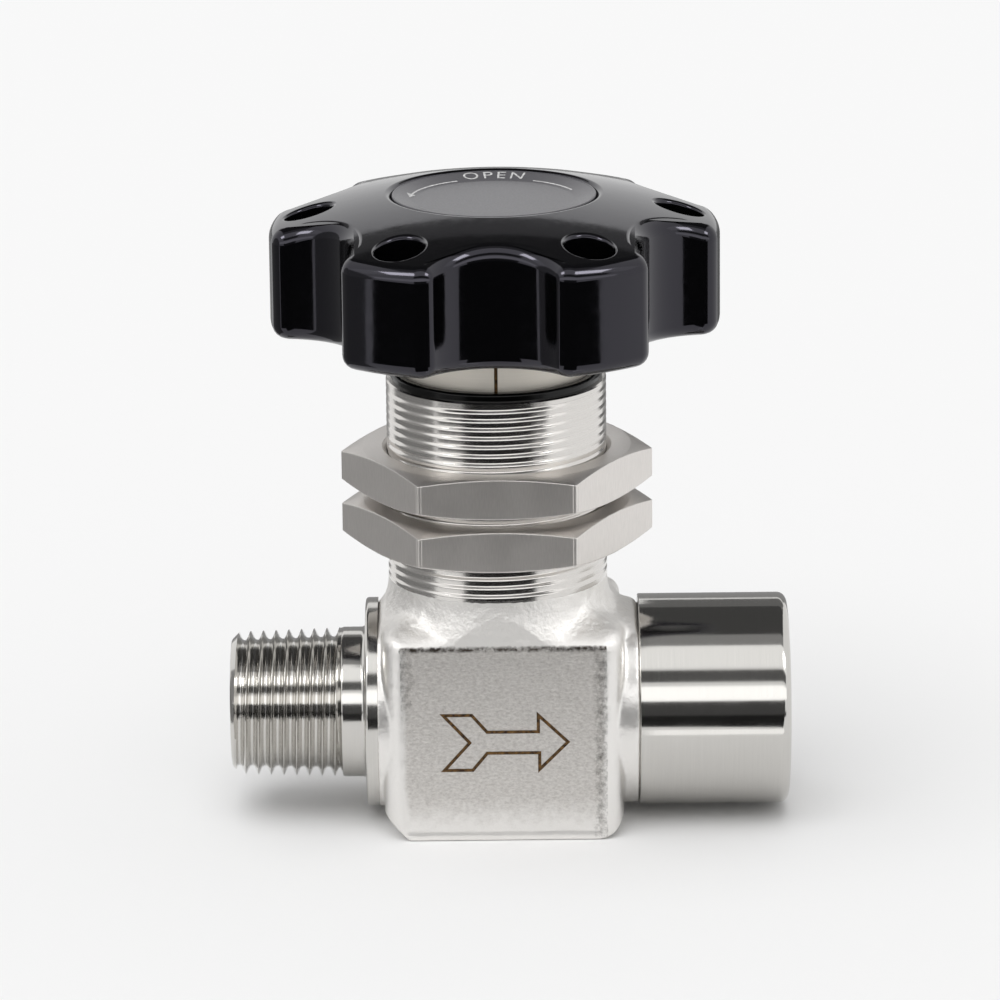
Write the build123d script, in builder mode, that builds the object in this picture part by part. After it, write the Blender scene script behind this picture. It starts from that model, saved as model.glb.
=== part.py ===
"""Panel-mounted packless diaphragm valve with a six-lobe handwheel.

The body stands on its flat base at Z = 0. X runs along the flow, from the male inlet on the left to the
female outlet on the right, and Z runs up the stem. The valve is drawn closed.
"""
from build123d import *
import math
import os

os.makedirs("parts", exist_ok=True)

# Clearances between mating pieces
press_gap = 0.02
running_gap = 0.05
thread_gap = 0.05
seat_gap = 0.03
free_gap = 0.35

# Forged block, measured from the stem axis and from the flow axis
outlet_radius = 15.05
base_cover = 0.75
side_cover = 0.75
block_left = 16.3
block_right = 17.5
block_face_rise = 12.9
block_side_rise = 13.6
block_corner_radius = 3.2
block_edge_round = 0.7
shoulder_rise = 5.2
neck_start_gap = 1.0
shoulder_slope = 33.0
inlet_bevel = 3.4
outlet_round = 3.6

# Forged bosses and the male inlet
inlet_boss_radius = 14.9
inlet_boss_length = 2.6
outlet_boss_radius = 14.7
outlet_boss_length = 2.4
boss_edge_round = 1.3
boss_valley_round = 0.8
shank_radius = 10.7
shank_length = 3.4
inlet_thread_length = 15.8
inlet_thread_step = 0.08
inlet_tip_chamfer = 1.1
thread_taper = 1.0 / 16.0

# Turned female outlet
outlet_barrel_length = 21.2
outlet_edge = 0.8
outlet_drill_radius = 9.13
outlet_thread_depth = 17.0
outlet_mouth_chamfer = 1.3

# Flow passages and seat
flow_bore_radius = 5.95
seat_riser_radius = 3.2
seat_wall = 2.0
seat_depth = 2.6
seat_lip = 0.55
seat_land = 1.2
outlet_riser_radius = 2.2
riser_web = 1.3
bore_end_margin = 0.2

# Threaded panel neck
neck_radius = 15.5
neck_wall = 2.5
neck_length = 28.9
neck_rim_chamfer = 0.35
flare_radius = 10.8
flare_drop = 5.5

# Diaphragm chamber
chamber_rise = 17.2
chamber_depth = 1.4
ledge_width = 1.7
diaphragm_count = 3
diaphragm_thickness = 0.15
diaphragm_rim_gap = 0.2
diaphragm_land_radius = 4.0

# Clamp ring, bonnet, bushing and its retaining ring
clamp_height = 4.0
clamp_wall = 4.45
bonnet_recess = 3.2
guide_length = 5.5
collar_room_radius = 8.0
bonnet_head_lip = 0.4
bonnet_head_gap = 0.3
bonnet_rise = 5.8
bonnet_chamfer = 0.4
index_width = 0.5
index_depth = 0.2
spanner_hole_radius = 1.0
spanner_hole_depth = 3.0
bushing_shoulder = 1.0
bushing_top_gap = 2.2
bushing_lip = 1.2
ring_thickness = 1.0
ring_depth = 0.8

# Dust seal on the rim of the neck
dust_seal_height = 1.15
dust_seal_width = 1.5
dust_seal_round = 0.45

# Push button and ball
button_gap = 0.5
button_head = 3.0
button_crown = 0.9
button_shank_radius = 4.5
ball_radius = 2.0
ball_rise = 0.6

# Stem, seal and key
stem_pitch = 1.25
opening_turns = 1.25
collar_gap = 0.8
collar_height = 2.0
stem_nose_length = 2.0
stem_shaft_radius = 4.5
stem_thread_step = 1.5
stem_tip_chamfer = 0.5
seal_groove_depth = 0.6
seal_section_radius = 0.6
seal_zone = 3.2
key_width = 2.5
key_length = 7.0
key_height = 2.2
key_sink = 1.2

# Handwheel
knob_gap = 1.2
knob_height = 15.2
knob_radius = 31.5
knob_crown_radius = 95.0
lobe_count = 6
scallop_depth = 6.8
scallop_radius = 10.3
lobe_corner_radius = 2.6
knob_top_round = 2.0
knob_bottom_round = 1.2
grip_hole_radius = 3.65
grip_hole_wall = 1.65
hub_wall = 4.5
hollow_wall = 4.2
hollow_depth = 8.5
rib_width = 2.4
rib_recess = 1.5
insert_across_flats = 15.0
washer_radius = 5.6
washer_thickness = 1.0
screw_radius = 2.5
screw_head_radius = 4.25
screw_head_height = 5.0
screw_length = 14.0
screw_socket = 4.0
screw_socket_depth = 2.6
cap_radius = 14.3
cap_thickness = 1.5
cap_gap = 0.5
cap_ring_margin = 3.15
cap_ring_width = 0.35
cap_ring_depth = 0.15
cap_skirt_wall = 0.8
cap_skirt_height = 3.0
cap_sink = 0.25

# Panel nuts
nut_wall = 3.47
nut_thickness = 5.8
nut_bore_gap = 0.08
nut_corner_drop = 0.85
nut_bore_chamfer = 0.6
nut_clearance = 5.5
panel_gap = 1.8

# Places that follow along the flow
flow_height = outlet_radius + base_cover
block_half_depth = outlet_radius + side_cover
block_face_top = flow_height + block_face_rise
block_side_top = flow_height + block_side_rise
block_top = block_face_top + shoulder_rise
inlet_boss_end = block_left + inlet_boss_length
outlet_boss_end = block_right + outlet_boss_length
shank_end = inlet_boss_end + shank_length
inlet_reach = shank_end + inlet_thread_length
outlet_reach = outlet_boss_end + outlet_barrel_length
inlet_crest_radius = shank_radius - inlet_thread_step
inlet_tip_radius = inlet_crest_radius - inlet_thread_length * thread_taper / 2
seat_radius = seat_riser_radius + seat_wall
outlet_riser_centre = seat_radius + riser_web + outlet_riser_radius
inlet_bore_end = seat_riser_radius + bore_end_margin
outlet_bore_end = outlet_riser_centre - outlet_riser_radius

# Heights and radii that follow inside the neck
neck_thread_start = block_top + neck_start_gap
neck_top = neck_thread_start + neck_length
neck_bore_radius = neck_radius - neck_wall
chamber_floor = flow_height + chamber_rise
chamber_radius = neck_bore_radius - ledge_width
diaphragm_radius = neck_bore_radius - diaphragm_rim_gap
sheet_step = diaphragm_thickness + seat_gap
ledge_height = chamber_floor + chamber_depth
clamp_base = ledge_height + diaphragm_count * sheet_step
clamp_top = clamp_base + clamp_height
guide_base = clamp_top + bonnet_recess
guide_top = guide_base + guide_length
seat_top = chamber_floor + seat_lip
opening_travel = opening_turns * stem_pitch
bonnet_shank_radius = neck_bore_radius - thread_gap
clamp_bore_radius = bonnet_shank_radius - clamp_wall
button_radius = clamp_bore_radius - button_gap
button_base = seat_top + seat_gap + diaphragm_count * sheet_step
button_head_top = button_base + button_crown + button_head
collar_radius = collar_room_radius - collar_gap
collar_base = guide_top + free_gap
collar_top = collar_base + collar_height
stem_thread_radius = stem_shaft_radius + stem_thread_step
stem_base = collar_base - stem_nose_length
button_top = stem_base - running_gap - ball_rise
ball_centre = button_top + ball_rise - ball_radius
bonnet_head_radius = neck_bore_radius + bonnet_head_lip
bonnet_head_base = neck_top + bonnet_head_gap
bonnet_top = neck_top + bonnet_rise
bushing_base = collar_top + opening_travel + free_gap
bushing_top = bonnet_top - bushing_top_gap
bushing_radius = collar_room_radius + bushing_shoulder
ring_groove_radius = bushing_radius + ring_depth

# Heights and radii of the handwheel
knob_base = bonnet_top + knob_gap
knob_edge_top = knob_base + knob_height
grip_hole_centre = knob_radius - grip_hole_wall - grip_hole_radius
hollow_inner_radius = insert_across_flats / 2 + hub_wall
hollow_outer_radius = knob_radius - scallop_depth - hollow_wall


def crown_height(radius):
    """Height of the domed top of the handwheel at a radius."""
    edge_drop = knob_crown_radius - math.sqrt(knob_crown_radius**2 - knob_radius**2)
    drop = knob_crown_radius - math.sqrt(knob_crown_radius**2 - radius**2)
    return knob_edge_top + edge_drop - drop


cap_top = crown_height(cap_radius) - cap_sink
cap_base = cap_top - cap_thickness
cap_ring_radius = cap_radius - cap_ring_margin
well_radius = washer_radius + cap_skirt_wall + 2 * press_gap
screw_head_top = cap_base - cap_gap
washer_top = screw_head_top - screw_head_height
insert_top = washer_top - washer_thickness
insert_height = insert_top - knob_base
stem_top = insert_top - free_gap

# Panel nuts on the neck
nut_bore_radius = neck_radius + nut_bore_gap
nut_across_flats = 2 * (nut_bore_radius + nut_wall)
nut_corner_radius = nut_across_flats / math.sqrt(3)
lower_nut_height = neck_thread_start + nut_clearance
upper_nut_height = lower_nut_height + nut_thickness + panel_gap

along_flow = Axis((0, 0, flow_height), (1, 0, 0))


# Body: one forging in 316 stainless, machined at the ports, the neck and the chamber
front_slope_run = shoulder_rise / math.tan(math.radians(shoulder_slope))
side_slope_run = (block_top - block_side_top) / math.tan(math.radians(shoulder_slope))
neck_foot_radius = neck_radius + flare_radius - math.sqrt(flare_radius**2 - flare_drop**2)

with BuildPart() as neck_form:
    # Neck with the concave flare at its foot, trimmed to the plan of the block
    with BuildSketch(Plane.XZ):
        with BuildLine():
            Line((0, flow_height), (neck_foot_radius, flow_height))
            Line((neck_foot_radius, flow_height), (neck_foot_radius, neck_thread_start - flare_drop))
            RadiusArc(
                (neck_foot_radius, neck_thread_start - flare_drop),
                (neck_radius, neck_thread_start),
                flare_radius,
            )
            Line((neck_radius, neck_thread_start), (neck_radius, neck_top - neck_rim_chamfer))
            Line((neck_radius, neck_top - neck_rim_chamfer), (neck_radius - neck_rim_chamfer, neck_top))
            Line((neck_radius - neck_rim_chamfer, neck_top), (0, neck_top))
            Line((0, neck_top), (0, flow_height))
        make_face()
    revolve(axis=Axis.Z)
    with BuildSketch(Plane.XY):
        with Locations(((block_right - block_left) / 2, 0)):
            RectangleRounded(block_left + block_right, 2 * block_half_depth, block_corner_radius)
    extrude(amount=neck_top, mode=Mode.INTERSECT)

with BuildPart() as block_form:
    # Square block with rounded vertical edges
    with BuildSketch(Plane.XY):
        with Locations(((block_right - block_left) / 2, 0)):
            RectangleRounded(block_left + block_right, 2 * block_half_depth, block_corner_radius)
    extrude(amount=block_top)
    # Front view: bevel under the inlet, rounding under the outlet, shoulders above the sides
    with BuildSketch(Plane.XZ):
        with BuildLine():
            Polyline(
                (block_right - outlet_round, 0),
                (-block_left + inlet_bevel, 0),
                (-block_left, inlet_bevel),
                (-block_left, block_side_top),
                (-block_left + side_slope_run, block_top),
                (block_right - side_slope_run, block_top),
                (block_right, block_side_top),
                (block_right, outlet_round),
            )
            RadiusArc((block_right, outlet_round), (block_right - outlet_round, 0), outlet_round)
        make_face()
    extrude(amount=block_half_depth, both=True, mode=Mode.INTERSECT)
    # Side view: flat front and back faces with shoulders above them
    with BuildSketch(Plane.YZ):
        with BuildLine():
            Polyline(
                (-block_half_depth, 0),
                (block_half_depth, 0),
                (block_half_depth, block_face_top),
                (block_half_depth - front_slope_run, block_top),
                (-block_half_depth + front_slope_run, block_top),
                (-block_half_depth, block_face_top),
                close=True,
            )
        make_face()
        fillet(vertices().group_by(Axis.Y)[0], block_edge_round)
        fillet(vertices().filter_by(lambda v: abs(v.Y - block_face_top) < block_edge_round), block_edge_round)
    extrude(amount=block_left + block_right, both=True, mode=Mode.INTERSECT)

with BuildPart() as port_form:
    # Inlet boss, shank and tapered pipe thread at crest height
    with BuildSketch(Plane.XZ):
        with BuildLine():
            Polyline(
                (0, flow_height),
                (0, flow_height + inlet_boss_radius - boss_valley_round),
                (-block_left, flow_height + inlet_boss_radius - boss_valley_round),
                (-block_left - boss_valley_round, flow_height + inlet_boss_radius),
                (-inlet_boss_end + boss_edge_round, flow_height + inlet_boss_radius),
            )
            RadiusArc(
                (-inlet_boss_end + boss_edge_round, flow_height + inlet_boss_radius),
                (-inlet_boss_end, flow_height + inlet_boss_radius - boss_edge_round),
                -boss_edge_round,
            )
            Polyline(
                (-inlet_boss_end, flow_height + inlet_boss_radius - boss_edge_round),
                (-inlet_boss_end, flow_height + shank_radius),
                (-shank_end, flow_height + shank_radius),
                (-shank_end, flow_height + inlet_crest_radius),
                (-inlet_reach + inlet_tip_chamfer, flow_height + inlet_tip_radius),
                (-inlet_reach, flow_height + inlet_tip_radius - inlet_tip_chamfer),
                (-inlet_reach, flow_height),
                (0, flow_height),
            )
        make_face()
    revolve(axis=along_flow)
    # Outlet boss and turned outlet barrel
    with BuildSketch(Plane.XZ):
        with BuildLine():
            Polyline(
                (0, flow_height),
                (0, flow_height + outlet_boss_radius),
                (outlet_boss_end, flow_height + outlet_boss_radius),
                (outlet_boss_end, flow_height + outlet_radius),
                (outlet_reach - outlet_edge, flow_height + outlet_radius),
            )
            RadiusArc(
                (outlet_reach - outlet_edge, flow_height + outlet_radius),
                (outlet_reach, flow_height + outlet_radius - outlet_edge),
                outlet_edge,
            )
            Polyline(
                (outlet_reach, flow_height + outlet_radius - outlet_edge),
                (outlet_reach, flow_height),
                (0, flow_height),
            )
        make_face()
    revolve(axis=along_flow)

with BuildPart() as valve_body:
    add(block_form.part)
    add(neck_form.part)
    add(port_form.part)
    # Inlet bore with a conical end
    with BuildSketch(Plane.XZ):
        with BuildLine():
            Polyline(
                (-inlet_reach, flow_height),
                (-inlet_reach, flow_height + flow_bore_radius),
                (inlet_bore_end - flow_bore_radius / 2, flow_height + flow_bore_radius),
                (inlet_bore_end, flow_height),
                close=True,
            )
        make_face()
    revolve(axis=along_flow, mode=Mode.SUBTRACT)
    # Outlet: chamfered mouth, straight drill for the pipe thread, then the flow bore
    with BuildSketch(Plane.XZ):
        with BuildLine():
            Polyline(
                (outlet_reach, flow_height),
                (outlet_reach, flow_height + outlet_drill_radius + outlet_mouth_chamfer),
                (outlet_reach - outlet_mouth_chamfer, flow_height + outlet_drill_radius),
                (outlet_reach - outlet_thread_depth, flow_height + outlet_drill_radius),
                (outlet_reach - outlet_thread_depth, flow_height + flow_bore_radius),
                (outlet_riser_centre, flow_height + flow_bore_radius),
                (outlet_bore_end, flow_height),
                close=True,
            )
        make_face()
    revolve(axis=along_flow, mode=Mode.SUBTRACT)
    # Risers: inlet to the seat in the middle, chamber back down to the outlet
    with BuildSketch(Plane.XY.offset(flow_height)):
        Circle(seat_riser_radius)
        with Locations((outlet_riser_centre, 0)):
            Circle(outlet_riser_radius)
    extrude(amount=chamber_floor - flow_height + chamber_depth, mode=Mode.SUBTRACT)
    # Neck bore, chamber and pocket for the seat ring
    with BuildSketch(Plane.XZ):
        with BuildLine():
            Polyline(
                (0, neck_top),
                (neck_bore_radius + neck_rim_chamfer, neck_top),
                (neck_bore_radius, neck_top - neck_rim_chamfer),
                (neck_bore_radius, ledge_height),
                (chamber_radius, ledge_height),
                (chamber_radius - chamber_depth, chamber_floor),
                (seat_radius, chamber_floor),
                (seat_radius, chamber_floor - seat_depth),
                (0, chamber_floor - seat_depth),
                close=True,
            )
        make_face()
    revolve(axis=Axis.Z, mode=Mode.SUBTRACT)
valve_body.part.label = "valve_body"
export_step(valve_body.part, "parts/valve_body.step")


# Seat: plastic ring pressed into its pocket, with a narrow sealing land
with BuildPart() as valve_seat:
    with BuildSketch(Plane.XZ):
        with BuildLine():
            Polyline(
                (seat_riser_radius, chamber_floor - seat_depth),
                (seat_radius - press_gap, chamber_floor - seat_depth),
                (seat_radius - press_gap, chamber_floor),
                (seat_riser_radius + seat_land, seat_top),
                (seat_riser_radius, seat_top),
                close=True,
            )
        make_face()
    revolve(axis=Axis.Z)
valve_seat.part.label = "valve_seat"
export_step(valve_seat.part, "parts/valve_seat.step")


# Diaphragms: thin dished metal sheets nested on the seat, their rims on the ledge of the body
diaphragm_names = ["diaphragm_lower", "diaphragm_middle", "diaphragm_upper"]
for number, sheet_name in enumerate(diaphragm_names[:diaphragm_count]):
    rim_height = ledge_height + seat_gap / 2 + number * sheet_step
    land_height = seat_top + seat_gap + number * sheet_step
    with BuildPart() as diaphragm:
        with BuildSketch(Plane.XZ):
            with BuildLine():
                Line((0, land_height), (diaphragm_land_radius, land_height))
                Spline(
                    (diaphragm_land_radius, land_height),
                    (chamber_radius, rim_height),
                    tangents=[(1, 0), (1, 0)],
                )
                Polyline(
                    (chamber_radius, rim_height),
                    (diaphragm_radius, rim_height),
                    (diaphragm_radius, rim_height + diaphragm_thickness),
                    (chamber_radius, rim_height + diaphragm_thickness),
                )
                Spline(
                    (chamber_radius, rim_height + diaphragm_thickness),
                    (diaphragm_land_radius, land_height + diaphragm_thickness),
                    tangents=[(-1, 0), (-1, 0)],
                )
                Polyline(
                    (diaphragm_land_radius, land_height + diaphragm_thickness),
                    (0, land_height + diaphragm_thickness),
                    (0, land_height),
                )
            make_face()
        revolve(axis=Axis.Z)
    diaphragm.part.label = sheet_name
    export_step(diaphragm.part, f"parts/{sheet_name}.step")


# Clamp ring: holds the rims of the diaphragms down, with a bell mouth that lets them bulge
with BuildPart() as clamp_ring:
    with BuildSketch(Plane.XZ):
        with BuildLine():
            Polyline(
                (chamber_radius, clamp_base),
                (bonnet_shank_radius, clamp_base),
                (bonnet_shank_radius, clamp_top),
                (clamp_bore_radius, clamp_top),
                (clamp_bore_radius, clamp_base + chamber_depth),
                close=True,
            )
        make_face()
    revolve(axis=Axis.Z)
clamp_ring.part.label = "clamp_ring"
export_step(clamp_ring.part, "parts/clamp_ring.step")


# Bonnet: screwed into the neck, guides the button below and carries the bushing above
ring_seat = bushing_top + press_gap
with BuildPart() as bonnet:
    with BuildSketch(Plane.XZ):
        with BuildLine():
            Polyline(
                (clamp_bore_radius, clamp_top),
                (bonnet_shank_radius, clamp_top),
                (bonnet_shank_radius, bonnet_head_base),
                (bonnet_head_radius, bonnet_head_base),
                (bonnet_head_radius, bonnet_top - bonnet_chamfer),
                (bonnet_head_radius - bonnet_chamfer, bonnet_top),
                (bushing_radius + press_gap, bonnet_top),
                (bushing_radius + press_gap, ring_seat + ring_thickness + 2 * press_gap),
                (ring_groove_radius, ring_seat + ring_thickness + 2 * press_gap),
                (ring_groove_radius, ring_seat - press_gap),
                (bushing_radius + press_gap, ring_seat - press_gap),
                (bushing_radius + press_gap, bushing_base),
                (collar_room_radius, bushing_base),
                (collar_room_radius, guide_top),
                (button_shank_radius + running_gap, guide_top),
                (button_shank_radius + running_gap, guide_base),
                (clamp_bore_radius, guide_base),
                close=True,
            )
        make_face()
    revolve(axis=Axis.Z)
    # Two holes for a pin spanner and one scribed index line facing the front
    with BuildSketch(Plane.XY.offset(bonnet_top)):
        with PolarLocations((ring_groove_radius + bonnet_head_radius) / 2, 2):
            Circle(spanner_hole_radius)
    extrude(amount=-spanner_hole_depth, mode=Mode.SUBTRACT)
    with BuildSketch(Plane.XZ.offset(bonnet_head_radius - index_depth)):
        with Locations((0, (bonnet_head_base + bonnet_top) / 2)):
            Rectangle(index_width, bonnet_top - bonnet_head_base)
    extrude(amount=bonnet_chamfer, mode=Mode.SUBTRACT)
bonnet.part.label = "bonnet"
export_step(bonnet.part, "parts/bonnet.step")


# Bushing: bronze nut for the stem thread, with a seal bore and a lip at its top
lip_base = bushing_top - bushing_lip
seal_base = lip_base - seal_zone
seal_groove_radius = stem_shaft_radius - seal_groove_depth
seal_bore_radius = seal_groove_radius + press_gap + 2 * seal_section_radius + running_gap
with BuildPart() as stem_bushing:
    with BuildSketch(Plane.XZ):
        with BuildLine():
            Polyline(
                (stem_thread_radius + thread_gap, bushing_base),
                (bushing_radius, bushing_base),
                (bushing_radius, bushing_top),
                (stem_shaft_radius + running_gap, bushing_top),
                (stem_shaft_radius + running_gap, lip_base),
                (seal_bore_radius, lip_base),
                (seal_bore_radius, seal_base),
                (stem_thread_radius + thread_gap, seal_base),
                close=True,
            )
        make_face()
    revolve(axis=Axis.Z)
stem_bushing.part.label = "stem_bushing"
export_step(stem_bushing.part, "parts/stem_bushing.step")


# Retaining ring: open spring ring in the groove above the bushing
ring_outer_radius = ring_groove_radius - press_gap
ring_inner_radius = bushing_radius - ring_depth
ring_opening = 2 * ring_depth + ring_thickness
with BuildPart() as retaining_ring:
    with BuildSketch(Plane.XY.offset(ring_seat)):
        Circle(ring_outer_radius)
        Circle(ring_inner_radius, mode=Mode.SUBTRACT)
        with Locations((0, bushing_radius)):
            Rectangle(ring_opening, 4 * ring_depth, mode=Mode.SUBTRACT)
    extrude(amount=ring_thickness)
retaining_ring.part.label = "retaining_ring"
export_step(retaining_ring.part, "parts/retaining_ring.step")


# Dust seal: black ring lying on the rim of the neck around the bonnet
with BuildPart() as dust_seal:
    with BuildSketch(Plane.XZ):
        with Locations((bonnet_head_radius + press_gap, neck_top)):
            Rectangle(dust_seal_width, dust_seal_height, align=(Align.MIN, Align.MIN))
        fillet(vertices().group_by(Axis.Y)[-1], dust_seal_round)
    revolve(axis=Axis.Z)
dust_seal.part.label = "dust_seal"
export_step(dust_seal.part, "parts/dust_seal.step")


# Push button: crowned head on the diaphragms, shank guided in the bonnet, pocket for the ball
ball_pocket_depth = 2 * ball_radius - ball_rise + press_gap
with BuildPart() as push_button:
    with BuildSketch(Plane.XZ):
        with BuildLine():
            Line((0, button_base), (diaphragm_land_radius, button_base))
            TangentArc(
                (diaphragm_land_radius, button_base),
                (button_radius, button_base + button_crown),
                tangent=(1, 0),
            )
            Polyline(
                (button_radius, button_base + button_crown),
                (button_radius, button_head_top),
                (button_shank_radius, button_head_top),
                (button_shank_radius, button_top),
                (ball_radius + press_gap, button_top),
                (ball_radius + press_gap, button_top - ball_pocket_depth),
                (0, button_top - ball_pocket_depth),
                (0, button_base),
            )
        make_face()
    revolve(axis=Axis.Z)
push_button.part.label = "push_button"
export_step(push_button.part, "parts/push_button.step")


# Thrust ball: lets the stem turn on the button without turning it
with BuildPart() as thrust_ball:
    with Locations((0, 0, ball_centre)):
        Sphere(ball_radius)
thrust_ball.part.label = "thrust_ball"
export_step(thrust_ball.part, "parts/thrust_ball.step")


# Stem: nose on the ball, stop collar, thread at crest radius, seal groove, keyed top for the handwheel
thread_top = seal_base - opening_travel - free_gap - stem_thread_step
seal_height = lip_base - opening_travel - free_gap - seal_section_radius
seal_half_groove = seal_section_radius + press_gap
screw_bore_base = washer_top - screw_length - free_gap
key_base = knob_base + (insert_height - key_length) / 2
with BuildPart() as stem:
    with BuildSketch(Plane.XZ):
        with BuildLine():
            Polyline(
                (0, stem_base),
                (stem_shaft_radius - free_gap, stem_base),
                (stem_shaft_radius - free_gap, collar_base),
                (collar_radius, collar_base),
                (collar_radius, collar_top),
                (stem_thread_radius, collar_top),
                (stem_thread_radius, thread_top),
                (stem_shaft_radius, thread_top + stem_thread_step),
                (stem_shaft_radius, seal_height - seal_half_groove),
                (seal_groove_radius, seal_height - seal_half_groove),
                (seal_groove_radius, seal_height + seal_half_groove),
                (stem_shaft_radius, seal_height + seal_half_groove),
                (stem_shaft_radius, stem_top - stem_tip_chamfer),
                (stem_shaft_radius - stem_tip_chamfer, stem_top),
                (screw_radius + thread_gap, stem_top),
                (screw_radius + thread_gap, screw_bore_base),
                (0, screw_bore_base - screw_radius / 2),
                close=True,
            )
        make_face()
    revolve(axis=Axis.Z)
    with BuildSketch(Plane.XY.offset(key_base - press_gap)):
        with Locations((stem_shaft_radius, 0)):
            Rectangle(2 * key_sink, key_width + 2 * press_gap)
    extrude(amount=key_length + 2 * press_gap, mode=Mode.SUBTRACT)
stem.part.label = "stem"
export_step(stem.part, "parts/stem.step")


# Stem seal: O-ring in the groove of the stem
with BuildPart() as stem_seal:
    with BuildSketch(Plane.XZ):
        with Locations((seal_groove_radius + press_gap + seal_section_radius, seal_height)):
            Circle(seal_section_radius)
    revolve(axis=Axis.Z)
stem_seal.part.label = "stem_seal"
export_step(stem_seal.part, "parts/stem_seal.step")


# Key: square bar between the stem and the insert of the handwheel
with BuildPart() as knob_key:
    with BuildSketch(Plane.XY.offset(key_base)):
        with Locations((stem_shaft_radius - key_sink + press_gap, 0)):
            Rectangle(key_height, key_width, align=(Align.MIN, Align.CENTER))
    extrude(amount=key_length)
knob_key.part.label = "knob_key"
export_step(knob_key.part, "parts/knob_key.step")


# Insert: brass hexagon moulded into the handwheel, with a keyway for the stem
with BuildPart() as knob_insert:
    with BuildSketch(Plane.XY.offset(knob_base)):
        RegularPolygon(insert_across_flats / 2, 6, major_radius=False)
        Circle(stem_shaft_radius + press_gap, mode=Mode.SUBTRACT)
        with Locations((stem_shaft_radius - key_sink + key_height + 2 * press_gap, 0)):
            Rectangle(key_height, key_width + 2 * press_gap, align=(Align.MAX, Align.CENTER), mode=Mode.SUBTRACT)
    extrude(amount=insert_height)
knob_insert.part.label = "knob_insert"
export_step(knob_insert.part, "parts/knob_insert.step")


# Handwheel: moulded wheel with six lobes, a domed top, a hole through each lobe and a ribbed hollow below
scallop_centre = knob_radius - scallop_depth + scallop_radius
cap_recess_radius = cap_radius + press_gap
with BuildPart() as knob:
    with BuildSketch(Plane.XY.offset(knob_base)):
        Circle(knob_radius)
        with PolarLocations(scallop_centre, lobe_count, start_angle=180 / lobe_count):
            Circle(scallop_radius, mode=Mode.SUBTRACT)
        fillet(vertices(), lobe_corner_radius)
    extrude(amount=crown_height(0) - knob_base)
    with BuildSketch(Plane.XZ):
        with BuildLine():
            Polyline(
                (0, crown_height(0)),
                (0, knob_base),
                (knob_radius, knob_base),
                (knob_radius, crown_height(knob_radius)),
            )
            RadiusArc((knob_radius, crown_height(knob_radius)), (0, crown_height(0)), -knob_crown_radius)
        make_face()
    revolve(axis=Axis.Z, mode=Mode.INTERSECT)
    fillet(faces().filter_by(GeomType.SPHERE).edges(), knob_top_round)
    fillet(faces().sort_by(Axis.Z)[0].edges(), knob_bottom_round)
    # Hole through each lobe
    with BuildSketch(Plane.XY.offset(knob_base)):
        with PolarLocations(grip_hole_centre, lobe_count):
            Circle(grip_hole_radius)
    extrude(amount=crown_height(0) - knob_base, mode=Mode.SUBTRACT)
    # Ribbed hollow round the hub
    with BuildSketch(Plane.XY.offset(knob_base)):
        Circle(hollow_outer_radius)
        Circle(hollow_inner_radius, mode=Mode.SUBTRACT)
    extrude(amount=hollow_depth, mode=Mode.SUBTRACT)
    with BuildSketch(Plane.XY.offset(knob_base + rib_recess)):
        with PolarLocations((hollow_inner_radius + hollow_outer_radius) / 2, lobe_count):
            Rectangle(hollow_outer_radius - hollow_inner_radius + rib_width, rib_width)
    extrude(amount=hollow_depth - rib_recess)
    # Pocket for the insert, well for the screw and recess for the cap
    with BuildSketch(Plane.XY.offset(knob_base)):
        RegularPolygon(insert_across_flats / 2 + press_gap, 6, major_radius=False)
    extrude(amount=insert_height, mode=Mode.SUBTRACT)
    with BuildSketch(Plane.XY.offset(insert_top)):
        Circle(well_radius)
    extrude(amount=cap_base - insert_top, mode=Mode.SUBTRACT)
    with BuildSketch(Plane.XY.offset(cap_base)):
        Circle(cap_recess_radius)
    extrude(amount=crown_height(0) - cap_base, mode=Mode.SUBTRACT)
knob.part.label = "knob"
export_step(knob.part, "parts/knob.step")


# Washer under the head of the screw
with BuildPart() as knob_washer:
    with BuildSketch(Plane.XY.offset(insert_top)):
        Circle(washer_radius)
        Circle(screw_radius + thread_gap, mode=Mode.SUBTRACT)
    extrude(amount=washer_thickness)
knob_washer.part.label = "knob_washer"
export_step(knob_washer.part, "parts/knob_washer.step")


# Socket head screw that holds the handwheel down on the stem
with BuildPart() as knob_screw:
    with BuildSketch(Plane.XY.offset(washer_top)):
        Circle(screw_head_radius)
    extrude(amount=screw_head_height)
    with BuildSketch(Plane.XY.offset(washer_top)):
        Circle(screw_radius)
    extrude(amount=-screw_length)
    with BuildSketch(Plane.XY.offset(screw_head_top)):
        RegularPolygon(screw_socket / 2, 6, major_radius=False)
    extrude(amount=-screw_socket_depth, mode=Mode.SUBTRACT)
knob_screw.part.label = "knob_screw"
export_step(knob_screw.part, "parts/knob_screw.step")


# Cap: disc with one turned ring on its face and a skirt that snaps into the screw well
with BuildPart() as knob_cap:
    with BuildSketch(Plane.XY.offset(cap_base)):
        Circle(cap_radius)
    extrude(amount=cap_thickness)
    with BuildSketch(Plane.XY.offset(cap_base)):
        Circle(well_radius - press_gap)
        Circle(well_radius - press_gap - cap_skirt_wall, mode=Mode.SUBTRACT)
    extrude(amount=-cap_skirt_height)
    with BuildSketch(Plane.XY.offset(cap_top)):
        Circle(cap_ring_radius + cap_ring_width / 2)
        Circle(cap_ring_radius - cap_ring_width / 2, mode=Mode.SUBTRACT)
    extrude(amount=-cap_ring_depth, mode=Mode.SUBTRACT)
knob_cap.part.label = "knob_cap"
export_step(knob_cap.part, "parts/knob_cap.step")


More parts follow.
